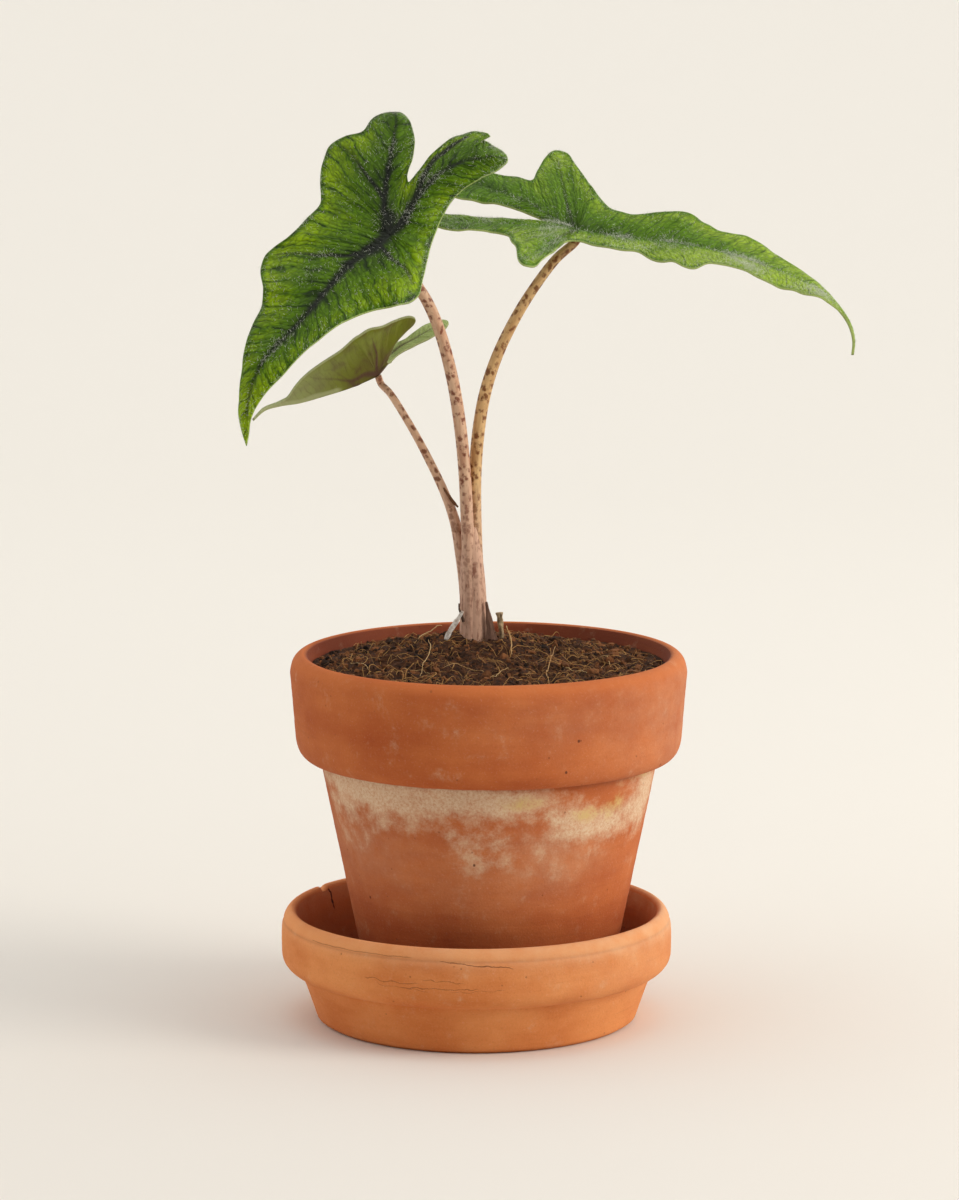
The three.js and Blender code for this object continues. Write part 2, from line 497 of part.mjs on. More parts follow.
class Blade {
  constructor(leaf) {
    this.leaf = leaf;
    const controls = leaf.rib.map((point) => new THREE.Vector3(...point));
    const curve = new THREE.CatmullRomCurve3(controls, false, "centripetal");
    this.points = curve.getPoints(RIB_STEPS * (controls.length - 1));
    this.run = [0];
    for (let i = 1; i < this.points.length; i += 1) {
      this.run.push(this.run[i - 1] + this.points[i].distanceTo(this.points[i - 1]));
    }
    this.hubRun = this.run[leaf.hub * RIB_STEPS];
    this.length = leaf.margin[0][1];
  }

  // The point of the rib at a distance s from the hub, carried straight on past both its ends.
  ribPoint(s) {
    const at = s + this.hubRun;
    const last = this.points.length - 1;
    const found = this.run.findIndex((run) => run > at);
    const next = found < 0 ? last : Math.max(found, 1);
    const share = (at - this.run[next - 1]) / (this.run[next] - this.run[next - 1]);
    return this.points[next - 1].clone().lerp(this.points[next], share);
  }

  // Where a point of the flat drawing lies in space.
  place(s, t, lift) {
    const along = this.ribPoint(s + RIB_REACH).sub(this.ribPoint(s - RIB_REACH)).normalize();
    const across = new THREE.Vector3(...this.leaf.side);
    across.addScaledVector(along, -across.dot(along)).normalize();
    const up = new THREE.Vector3().crossVectors(along, across);
    const fold = THREE.MathUtils.degToRad(between(this.leaf.folds[t > 0 ? 1 : 0], s));
    return this.ribPoint(s).addScaledVector(across, t * Math.cos(fold))
      .addScaledVector(up, Math.abs(t) * Math.sin(fold) + lift);
  }

  // The vein that reaches the margin at `walk`: its foot on a rib, its end and its puffing-up.
  vein(walk) {
    const leg = Math.min(Math.floor(walk), 5);
    const fromHub = leg % 2 === 0 ? leg + 1 - walk : walk - leg;
    const onMidrib = leg === 0 || leg === 5;
    const ribbed = 1 - HUB_FAN - (onMidrib ? 0 : END_FAN);
    const share = THREE.MathUtils.clamp((fromHub - HUB_FAN) / ribbed, 0, 1);
    const [s, t, lift] = smoothBetween(this.leaf.margin, walk);
    return {
      foot: onMidrib ? [share * this.length, 0] : this.lobePoint(leg < 3 ? 0 : 1, share),
      end: [s, t],
      lift,
      puff: Math.sin(Math.PI * fromHub * (onMidrib ? MIDRIB_VEINS : LOBE_VEINS)) ** 2,
    };
  }

  lobePoint(lobe, share) {
    const rows = this.leaf.lobes[lobe].map((point) => [0, ...point]);
    for (let i = 1; i < rows.length; i += 1) {
      rows[i][0] = rows[i - 1][0] + Math.hypot(rows[i][1] - rows[i - 1][1], rows[i][2] - rows[i - 1][2]);
    }
    return smoothBetween(rows, share * rows.at(-1)[0]);
  }

  // One column of the blade's upper face: points down one vein, with the blade's depth at each.
  column(walk) {
    const { foot, end, lift, puff } = this.vein(walk);
    const reach = Math.hypot(end[0] - foot[0], end[1] - foot[1]);
    return this.leaf.rows.map((row) => {
      const swell = Math.sin(Math.PI * row) * Math.min(reach / BLADE.quiltReach, 1);
      const point = this.place(
        foot[0] + (end[0] - foot[0]) * row,
        foot[1] + (end[1] - foot[1]) * row,
        lift * row ** BLADE.droop + BLADE.quilt * puff * swell,
      );
      const keel = BLADE.keel * Math.exp(-(((reach * row) / BLADE.keelWidth) ** 2));
      const taper = 1 - BLADE.keelTaper * (foot[0] / this.length);
      return { point, depth: BLADE.thickness + keel * taper + BLADE.vein * (1 - puff) * swell };
    });
  }

  walks() {
    const { midrib, lobe } = this.leaf.columns;
    return [midrib, lobe, lobe, lobe, lobe, midrib]
      .flatMap((count, leg) => Array.from({ length: count }, (_, i) => leg + i / count));
  }

  upperFace() {
    const columns = [...this.walks().map((walk) => this.column(walk)), this.column(6)];
    const rows = this.leaf.rows.length;
    const cells = columns.flat();
    const corners = [];
    for (let c = 0; c + 1 < columns.length; c += 1) {
      for (let r = 0; r + 1 < rows; r += 1) {
        const a = c * rows + r;
        corners.push(a, a + rows, a + rows + 1, a, a + rows + 1, a + 1);
      }
    }
    const sheet = geometryFrom(cells.map(({ point }) => point.toArray()), corners);
    sheet.setAttribute("depth", new THREE.Float32BufferAttribute(cells.map(({ depth }) => depth), 1));
    return sheet;
  }

  // Where the stalk has to end to meet the underside at the hub, and the way it comes in.
  socket() {
    const up = this.place(0, 0, 1).sub(this.place(0, 0, 0));
    const depth = BLADE.thickness + BLADE.keel + SEAT_GAP;
    return { up, end: this.place(0, 0, 0).addScaledVector(up, -depth) };
  }
}

// Gives a sheet its second face, each point as deep as its `depth` says, and a rim round the edge.
function thicken(sheet) {
  const face = mergeVertices(sheet, 1e-3);
  const all = face.index.array;
  const corners = [];
  for (let i = 0; i < all.length; i += 3) {
    const [a, b, c] = [all[i], all[i + 1], all[i + 2]];
    if (a !== b && b !== c && c !== a) corners.push(a, b, c);
  }
  face.setIndex(corners);
  face.computeVertexNormals();
  const { position, normal, depth } = face.attributes;
  const upper = [];
  const lower = [];
  for (let i = 0; i < position.count; i += 1) {
    const point = new THREE.Vector3().fromBufferAttribute(position, i);
    const inward = new THREE.Vector3().fromBufferAttribute(normal, i).multiplyScalar(-depth.getX(i));
    upper.push(point.toArray());
    lower.push(point.add(inward).toArray());
  }
  const count = position.count;
  const sides = new Set();
  const faces = [...corners];
  for (let i = 0; i < corners.length; i += 3) {
    const [a, b, c] = corners.slice(i, i + 3);
    faces.push(a + count, c + count, b + count);
    [[a, b], [b, c], [c, a]].forEach(([from, to]) => sides.add(`${from},${to}`));
  }
  for (const side of sides) {
    const [a, b] = side.split(",").map(Number);
    if (!sides.has(`${b},${a}`)) faces.push(b, a, a + count, b, a + count, b + count);
  }
  return weld(geometryFrom([...upper, ...lower], faces));
}

const blades = Object.fromEntries(Object.entries(LEAVES).map(([name, leaf]) => [name, new Blade(leaf)]));

function makeLeaf(name) {
  return makeMesh(name, thicken(blades[name].upperFace()), LEAVES[name].colour, 0.5);
}

// ---- Stalks and husks ----

// A round stalk that tapers along its path up to the underside of its blade's hub.
function stalkBody(name, grow = 0) {
  const { path, radii, leaf, bend } = STALKS[name];
  const { up, end } = blades[leaf].socket();
  const turn = bend ? [end.clone().addScaledVector(up, -bend)] : [];
  const controls = [...path.map((point) => new THREE.Vector3(...point)), ...turn, end];
  const curve = new THREE.CatmullRomCurve3(controls, false, "centripetal");
  const frames = curve.computeFrenetFrames(STALK_STEPS);
  const table = radii.map((radius, i) => [i, radius]);
  const rings = Array.from({ length: STALK_STEPS + 1 }, (_, step) => {
    const share = step / STALK_STEPS;
    const centre = curve.getPointAt(share);
    const radius = between(table, curve.getUtoTmapping(share) * (controls.length - 1)) + grow;
    return Array.from({ length: STALK_SIDES }, (_unused, side) => {
      const angle = (2 * Math.PI * side) / STALK_SIDES;
      return centre.clone().addScaledVector(frames.normals[step], radius * Math.cos(angle))
        .addScaledVector(frames.binormals[step], radius * Math.sin(angle)).toArray();
    });
  });
  return toSolid(skinOver(rings));
}

// The stalks are pressed together low down: each later one is hollowed to lie against the others.
function makeStalks() {
  const right = stalkBody("petiole_right");
  const front = stalkBody("petiole_front").subtract(stalkBody("petiole_right", SEAT_GAP));
  const small = stalkBody("petiole_small").subtract(stalkBody("petiole_right", SEAT_GAP))
    .subtract(stalkBody("petiole_front", SEAT_GAP));
  return [
    makeMesh("petiole_right", fromSolid(right), 0xb98a5a, 0.5),
    makeMesh("petiole_front", fromSolid(front), 0xb5846c, 0.5),
    makeMesh("petiole_small", fromSolid(small), 0x9a7050, 0.5),
  ];
}

// A flat tapering strip, oval across, whose broad face looks the way that `facing` points.
function makeHusk(name) {
  const { path, widths, depths, facing, colour } = HUSKS[name];
  const controls = path.map((point) => new THREE.Vector3(...point));
  const curve = new THREE.CatmullRomCurve3(controls, false, "centripetal");
  const last = path.length - 1;
  const rings = Array.from({ length: HUSK_STEPS + 1 }, (_, step) => {
    const share = step / HUSK_STEPS;
    const centre = curve.getPoint(share);
    const along = curve.getTangent(share);
    const face = new THREE.Vector3(...facing);
    face.addScaledVector(along, -face.dot(along)).normalize();
    const across = new THREE.Vector3().crossVectors(along, face);
    const width = between(widths.map((value, i) => [i, value]), share * last);
    const depth = between(depths.map((value, i) => [i, value]), share * last);
    return Array.from({ length: HUSK_SIDES }, (_unused, side) => {
      const angle = (2 * Math.PI * side) / HUSK_SIDES;
      return centre.clone().addScaledVector(across, width * Math.cos(angle))
        .addScaledVector(face, depth * Math.sin(angle)).toArray();
    });
  });
  return makeMesh(name, skinOver(rings), colour, 0.9);
}

// ---- The whole plant in its pot ----

const alocasia = new THREE.Group();
alocasia.add(
  makeSaucer(),
  makePot(),
  makeSoil(),
  makeTuber(),
  ...makeStalks(),
  ...Object.keys(LEAVES).map(makeLeaf),
  ...Object.keys(HUSKS).map(makeHusk),
);

export default alocasia;
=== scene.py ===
"""A young alocasia in a clay flowerpot on its saucer: the looks of the part, for Blender 4.5.

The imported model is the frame. Every piece here stands for a node of it and keeps that node's
place and form, and carries the finer shape and the finish that the node leaves out. Sizes are
millimetres until a mesh is made, which is in metres.
"""

from __future__ import annotations

import logging
from collections.abc import Sequence
from dataclasses import dataclass, field
from enum import Enum

import bpy
import numpy as np
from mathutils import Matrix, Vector


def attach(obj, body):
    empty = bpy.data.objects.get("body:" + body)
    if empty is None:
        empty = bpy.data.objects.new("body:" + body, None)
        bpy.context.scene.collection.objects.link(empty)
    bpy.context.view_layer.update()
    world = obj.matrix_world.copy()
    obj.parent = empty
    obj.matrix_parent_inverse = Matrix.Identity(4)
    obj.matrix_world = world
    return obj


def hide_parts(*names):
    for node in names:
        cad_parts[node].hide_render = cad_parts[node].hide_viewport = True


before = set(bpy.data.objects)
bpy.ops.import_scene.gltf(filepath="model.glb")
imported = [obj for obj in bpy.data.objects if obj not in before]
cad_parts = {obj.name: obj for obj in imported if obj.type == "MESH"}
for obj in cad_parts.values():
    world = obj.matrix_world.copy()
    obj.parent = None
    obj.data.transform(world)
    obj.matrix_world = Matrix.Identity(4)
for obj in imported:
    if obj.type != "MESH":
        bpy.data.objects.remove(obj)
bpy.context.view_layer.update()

Array = np.ndarray
Pair = tuple[float, float]
Point = tuple[float, float, float]
Colour = tuple[float, float, float]
Material = bpy.types.Material

MM = 0.001  # metres in a millimetre
TINY = 1e-9  # keeps a division from failing at zero
OLD_Z, FRESH_Z = 128.0, 190.0  # a stalk is old and dry up to the first height, and fresh from the second
log = logging.getLogger("alocasia")


# ---- Maths on whole arrays ----


def unit(vectors: Array) -> Array:
    """The vectors, each divided by its length."""
    return vectors / np.maximum(np.linalg.norm(vectors, axis=-1, keepdims=True), TINY)


def bell(away: Array, width: Array | float) -> Array:
    """A bell curve, exp(-(away / width)^2): 1 in the middle and 0.37 at the width."""
    return np.exp(-((away / width) ** 2))


def run_along(path: Array) -> Array:
    """How far along a path each of its points lies, from 0 at the first."""
    return np.concatenate([[0.0], np.cumsum(np.linalg.norm(np.diff(path, axis=0), axis=1))])


def circle(sides: int) -> Array:
    """The cosines and the sines of the directions of a ring's points."""
    angle = np.linspace(0, 2 * np.pi, sides, endpoint=False)
    return np.stack([np.cos(angle), np.sin(angle)])


def read_evenly(values: Sequence[float], count: int) -> Array:
    """A list of values read at `count` even steps, from its first to its last."""
    return np.interp(np.linspace(0, len(values) - 1, count), np.arange(len(values)), values)


def cubic(x: Array, start: Array, leave: Array, stop: Array, arrive: Array) -> Array:
    """The cubic from start to stop, with the slopes leave and arrive there, at shares x of the way."""
    first = (2 * x**3 - 3 * x**2 + 1) * start + (x**3 - 2 * x**2 + x) * leave
    return first + ((3 * x**2 - 2 * x**3) * stop + (x**3 - x**2) * arrive)


def degrees_from(degrees: Array, middle: float) -> Array:
    """How far directions lie from a middle one, from -180 to 180."""
    return (degrees - middle + 180) % 360 - 180


def each(kind: type, *rows: tuple) -> tuple:
    """One of a kind from each row of its fields."""
    return tuple(kind(*row) for row in rows)


def smooth_between(rows: Sequence[Sequence[float]] | Array, at: Array) -> Array:
    """Reads a smooth curve through rows of (key, values...), which may be unevenly spaced.

    Between two rows it is the cubic with their values and slopes at its ends. A row's slope is
    the mean of the gradients on both its sides, each weighted by the other side's span.

    Args:
        rows: the table, with rising keys.
        at: the keys to read.

    Returns:
        The values, one row for each key.
    """
    table = np.asarray(rows, float)
    keys, values = table[:, 0], table[:, 1:]
    span = np.diff(keys)[:, None]
    gradient = np.diff(values, axis=0) / span
    inner = (span[1:] * gradient[:-1] + span[:-1] * gradient[1:]) / (span[1:] + span[:-1])
    slope = np.vstack([gradient[:1], inner, gradient[-1:]])
    i = np.clip(np.searchsorted(keys, at, side="right") - 1, 0, len(keys) - 2)
    x = ((at - keys[i]) / span[i, 0])[:, None]
    return cubic(x, values[i], span[i] * slope[i], values[i + 1], span[i] * slope[i + 1])


def smooth_path(controls: Sequence[Point], steps: int) -> Array:
    """A centripetal Catmull-Rom curve through points.

    Each span is the cubic whose end slopes come from the neighbouring points, with the knots
    spaced by the square root of the distances. Both ends are mirrored to carry the curve on.

    Args:
        controls: the points it goes through.
        steps: points on each span.

    Returns:
        The curve's points, the last control point included.
    """
    inside = np.asarray(controls, float)
    ends = 2 * inside[[0, -1]] - inside[[1, -2]]
    padded = np.vstack([ends[:1], inside, ends[1:]])
    knots = np.linalg.norm(np.diff(padded, axis=0), axis=1)[:, None] ** 0.5
    d0, d1, d2 = knots[:-2], knots[1:-1], knots[2:]
    p0, p1, p2, p3 = padded[:-3], padded[1:-2], padded[2:-1], padded[3:]
    m1 = ((p1 - p0) / d0 - (p2 - p0) / (d0 + d1) + (p2 - p1) / d1) * d1
    m2 = ((p2 - p1) / d1 - (p3 - p1) / (d1 + d2) + (p3 - p2) / d2) * d1
    x = (np.arange(steps) / steps)[None, :, None]
    curve = cubic(x, *(part[:, None] for part in (p1, m1, p2, m2)))
    return np.vstack([curve.reshape(-1, inside.shape[1]), inside[-1:]])


def value_noise(x: Array, y: Array, cell: float, seed: int, z: Array | float = 0.0) -> Array:
    """Smooth noise from -1 to 1 over a plane or through space.

    Random values stand on a lattice; between its points they are blended with the weights
    3 f^2 - 2 f^3 of the place inside the cell.

    Args:
        x: first coordinate, in millimetres.
        y: second coordinate.
        cell: size of the lattice's cells.
        seed: picks the random values.
        z: third coordinate.

    Returns:
        The noise at each place.
    """
    size = 64
    lattice = np.random.default_rng(seed).uniform(-1, 1, (size, size, size))
    places = np.stack(np.broadcast_arrays(x, y, z)) / cell
    low = np.floor(places).astype(int)
    f = places - low
    weight = 3 * f**2 - 2 * f**3
    total = np.zeros(places.shape[1:])
    for corner in np.ndindex(2, 2, 2):
        share = np.prod([w if c else 1 - w for c, w in zip(corner, weight)], axis=0)
        i, j, k = (np.mod(part + c, size) for part, c in zip(low, corner))
        total += share * lattice[i, j, k]
    return total


def distance_to_route(places: Array, route: Array) -> tuple[Array, Array]:
    """How far places are from a polyline, and how far along it the nearest point is.

    Args:
        places: (n, d) places.
        route: (m, d) corners of the polyline.

    Returns:
        The distances, and the shares of the polyline's length from 0 to 1.
    """
    start, step = route[:-1], np.diff(route, axis=0)
    length = np.linalg.norm(step, axis=1)
    before = run_along(route)
    away = places[:, None] - start
    share = np.clip(np.sum(away * step, axis=2) / length**2, 0, 1)
    gap = np.linalg.norm(away - share[..., None] * step, axis=2)
    nearest = np.argmin(gap, axis=1)
    rows = np.arange(len(places))
    run = before[nearest] + share[rows, nearest] * length[nearest]
    return gap[rows, nearest], run / before[-1]


def quarter(middle: Pair, across: float, up: float, turn: Pair, steps: int) -> list[Pair]:
    """Points of part of an ellipse between two angles in degrees, ends included."""
    x, z = middle
    angle = np.radians(np.linspace(*turn, steps + 1))
    return list(zip(x + across * np.cos(angle), z + up * np.sin(angle)))


def refined(profile: Sequence[Sequence[float]], spacing: float) -> Array:
    """The same polyline with points added so that none is further than spacing from the next."""
    corners = np.asarray(profile, float)
    length = np.linalg.norm(np.diff(corners, axis=0), axis=1)
    parts = np.maximum(np.ceil(length / spacing), 1).astype(int)
    stretches = [
        corners[i] + (corners[i + 1] - corners[i]) * (np.arange(count) / count)[:, None]
        for i, count in enumerate(parts)
    ]
    return np.vstack([*stretches, corners[-1:]])


def grid_faces(rows: int, columns: int, joined_rows: bool = False, joined_columns: bool = False) -> Array:
    """Four-sided faces of a grid whose point at (row, column) has the number row * columns + column.

    Args:
        rows: rows of points.
        columns: points in a row.
        joined_rows: the last row is joined to the first.
        joined_columns: the end of each row is joined to its start.

    Returns:
        (faces, 4) numbers of points.
    """
    r = np.arange(rows if joined_rows else rows - 1)[:, None]
    c = np.arange(columns if joined_columns else columns - 1)[None, :]
    after_r, after_c = (r + 1) % rows, (c + 1) % columns
    corners = [r * columns + c, r * columns + after_c, after_r * columns + after_c, after_r * columns + c]
    return np.stack(corners, axis=-1).reshape(-1, 4)


def fan_faces(ring: Array, centre: int, upwards: bool) -> Array:
    """Triangles that close a ring of points round a centre point."""
    after = np.roll(ring, -1)
    middle = np.full_like(ring, centre)
    return np.stack([ring, after, middle] if upwards else [after, ring, middle], axis=1)


def frames_along(path: Array, towards: Point) -> tuple[Array, Array, Array]:
    """Directions along, across and out of paths, the second as near to `towards` as it can be."""
    along = unit(np.gradient(path, axis=-2))
    wanted = np.broadcast_to(np.asarray(towards, float), along.shape)
    across = unit(wanted - along * np.sum(along * wanted, axis=-1, keepdims=True))
    return along, across, np.cross(along, across)


# ---- Meshes and pieces ----


def put(name: str, data: bpy.types.ID) -> bpy.types.Object:
    """Puts a mesh, a lamp or a camera into the scene, at the origin."""
    thing = bpy.data.objects.new(name, data)
    bpy.context.scene.collection.objects.link(thing)
    return thing


def aim(thing: bpy.types.Object, place: Point, target: Point) -> None:
    """Stands a lamp or a camera at a place and points it at a target."""
    thing.location = place
    thing.rotation_euler = (Vector(target) - thing.location).to_track_quat("-Z", "Y").to_euler()


@dataclass
class Form:
    """A mesh being worked out, in millimetres."""

    points: Array
    faces: list[Array]
    values: dict[str, Array] = field(default_factory=dict)
    corner_uv: Array | None = None

    def mesh(self, name: str, sharp: float | None) -> bpy.types.Mesh:
        """Makes the Blender mesh.

        Args:
            name: its name.
            sharp: edges bent by more than this many degrees stay sharp; None rounds them all.

        Returns:
            The mesh, in metres.
        """
        mesh = bpy.data.meshes.new(name)
        faces = [face for block in self.faces for face in block.tolist()]
        mesh.from_pydata((self.points * MM).tolist(), [], faces)
        for key, values in self.values.items():
            kind, part = ("FLOAT_VECTOR", "vector") if values.ndim == 2 else ("FLOAT", "value")
            layer = mesh.attributes.new(key, kind, "POINT")
            layer.data.foreach_set(part, values.astype(np.float32).ravel())
        if self.corner_uv is not None:
            layer = mesh.uv_layers.new(name="veins")
            layer.data.foreach_set("uv", self.corner_uv.astype(np.float32).ravel())
        mesh.shade_smooth()
        if sharp is not None:
            mesh.set_sharp_from_angle(angle=np.radians(sharp))
        mesh.update()
        return mesh

    def piece(
        self, name: str, slot: str, finish: Material, *nodes: str, sharp: float | None = None
    ) -> None:
        """Puts the form into the scene on the root body, in a finish.

        Args:
            name: the piece's name.
            slot: the record's material slot; not used.
            finish: its material.
            *nodes: the CAD nodes that it stands for.
            sharp: see `mesh`.
        """
        thing = put(name, self.mesh(name, sharp))
        thing.data.materials.append(finish)
        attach(thing, "root")
        if nodes:
            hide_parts(*nodes)
        triangles = sum(len(block) * (block.shape[1] - 2) for block in self.faces)
        log.info("%s: %d points, %d triangles", name, len(self.points), triangles)


def tube(rings: Array, ends: Array, inside_out: bool = False) -> Form:
    """Rings of points joined each to the next, and closed at both ends with a fan.

    Args:
        rings: (rings, sides, 3) places.
        ends: (2, 3) middles of both fans.
        inside_out: turns all faces round, for rings that run the other way.

    Returns:
        The form, without values.
    """
    steps, sides, _ = rings.shape
    count, ring = steps * sides, np.arange(sides)
    faces = [
        grid_faces(steps, sides, joined_columns=True),
        fan_faces(ring, count, upwards=False),
        fan_faces(ring + count - sides, count + 1, upwards=True),
    ]
    if inside_out:
        faces = [block[:, ::-1] for block in faces]
    return Form(np.vstack([rings.reshape(-1, 3), ends]), faces)


def copies(points: Array, faces: Sequence[Array], tones: Array) -> Form:
    """Many small meshes of the same build as one form.

    Args:
        points: (copies, points, 3) places.
        faces: the faces of one copy.
        tones: a number for each copy, which its points carry as `strand`.

    Returns:
        The form.
    """
    count, size, _ = points.shape
    shift = (np.arange(count) * size)[:, None, None]
    blocks = [(block[None] + shift).reshape(-1, block.shape[1]) for block in faces]
    return Form(points.reshape(-1, 3), blocks, {"strand": np.repeat(tones, size)})


def turned(profile: Array, sides: int, centre_x: float, closed: bool) -> Form:
    """A profile of (radius, height) turned about an upright axis.

    The point at angle a is (centre_x + radius cos a, radius sin a, height).

    Args:
        profile: the pairs, from the underside outwards and up.
        sides: points round the axis.
        centre_x: where the axis stands.
        closed: the profile ends where it starts; otherwise both ends are closed with a fan.

    Returns:
        The form, faces outwards.
    """
    cos, sin = circle(sides)
    radius, height = (profile[:-1] if closed else profile).T[..., None]
    rings = np.stack([radius * cos + centre_x, radius * sin, height + 0 * cos], axis=-1)
    if closed:
        return Form(rings.reshape(-1, 3), [grid_faces(len(rings), sides, True, True)])
    return tube(rings, [[centre_x, 0, height[0, 0]], [centre_x, 0, height[-1, 0]]])


def strands(paths: Array, radii: Array, sides: int, towards: Point = (0.3, 0.5, 0.8)) -> Form:
    """Round strands along many paths at once.

    At each point of a path the ring is centre + radius (across cos a + out sin a). Both ends
    are closed with a fan.

    Args:
        paths: (strands, points, 3) centre lines.
        radii: (strands, points) radii.
        sides: points round a strand.
        towards: a direction that no path follows.

    Returns:
        The form, with the strand's number as a share of all in `strand`.
    """
    count = len(paths)
    _, across, out = frames_along(paths, towards)
    cos, sin = circle(sides)[:, :, None]
    around = across[:, :, None] * cos + out[:, :, None] * sin
    rings = paths[:, :, None] + radii[:, :, None, None] * around
    points = np.concatenate([rings.reshape(count, -1, 3), paths[:, [0, -1]]], axis=1)
    one = tube(rings[0], paths[0, [0, -1]])
    return copies(points, one.faces, (np.arange(count) + 0.5) / count)


# ---- Materials ----


class Maths(Enum):
    """The arithmetic that runs through a material's nodes, on numbers or on whole vectors."""

    ADD = "ADD"
    SUBTRACT = "SUBTRACT"
    MULTIPLY = "MULTIPLY"
    MOVE = "MULTIPLY_ADD"
    ABSOLUTE = "ABSOLUTE"
    SWING = "PINGPONG"
    LENGTH = "LENGTH"


class Signal:
    """A number, vector or colour on its way through a material's nodes."""

    def __init__(self, paint: Paint, socket: bpy.types.NodeSocket) -> None:
        """Wraps one output socket."""
        self.paint = paint
        self.socket = socket

    def __add__(self, other: Signal | float) -> Signal:
        """This number plus another."""
        return self.paint.sum(Maths.ADD, self, other)

    __radd__ = __add__

    def __sub__(self, other: Signal | float) -> Signal:
        """This number less another."""
        return self.paint.sum(Maths.SUBTRACT, self, other)

    def __rsub__(self, other: Signal | float) -> Signal:
        """Another number less this one."""
        return self.paint.sum(Maths.SUBTRACT, other, self)

    def __mul__(self, other: Signal | float) -> Signal:
        """This number times another."""
        return self.paint.sum(Maths.MULTIPLY, self, other)

    __rmul__ = __mul__

    def __abs__(self) -> Signal:
        """This number without its sign."""
        return self.paint.sum(Maths.ABSOLUTE, self)


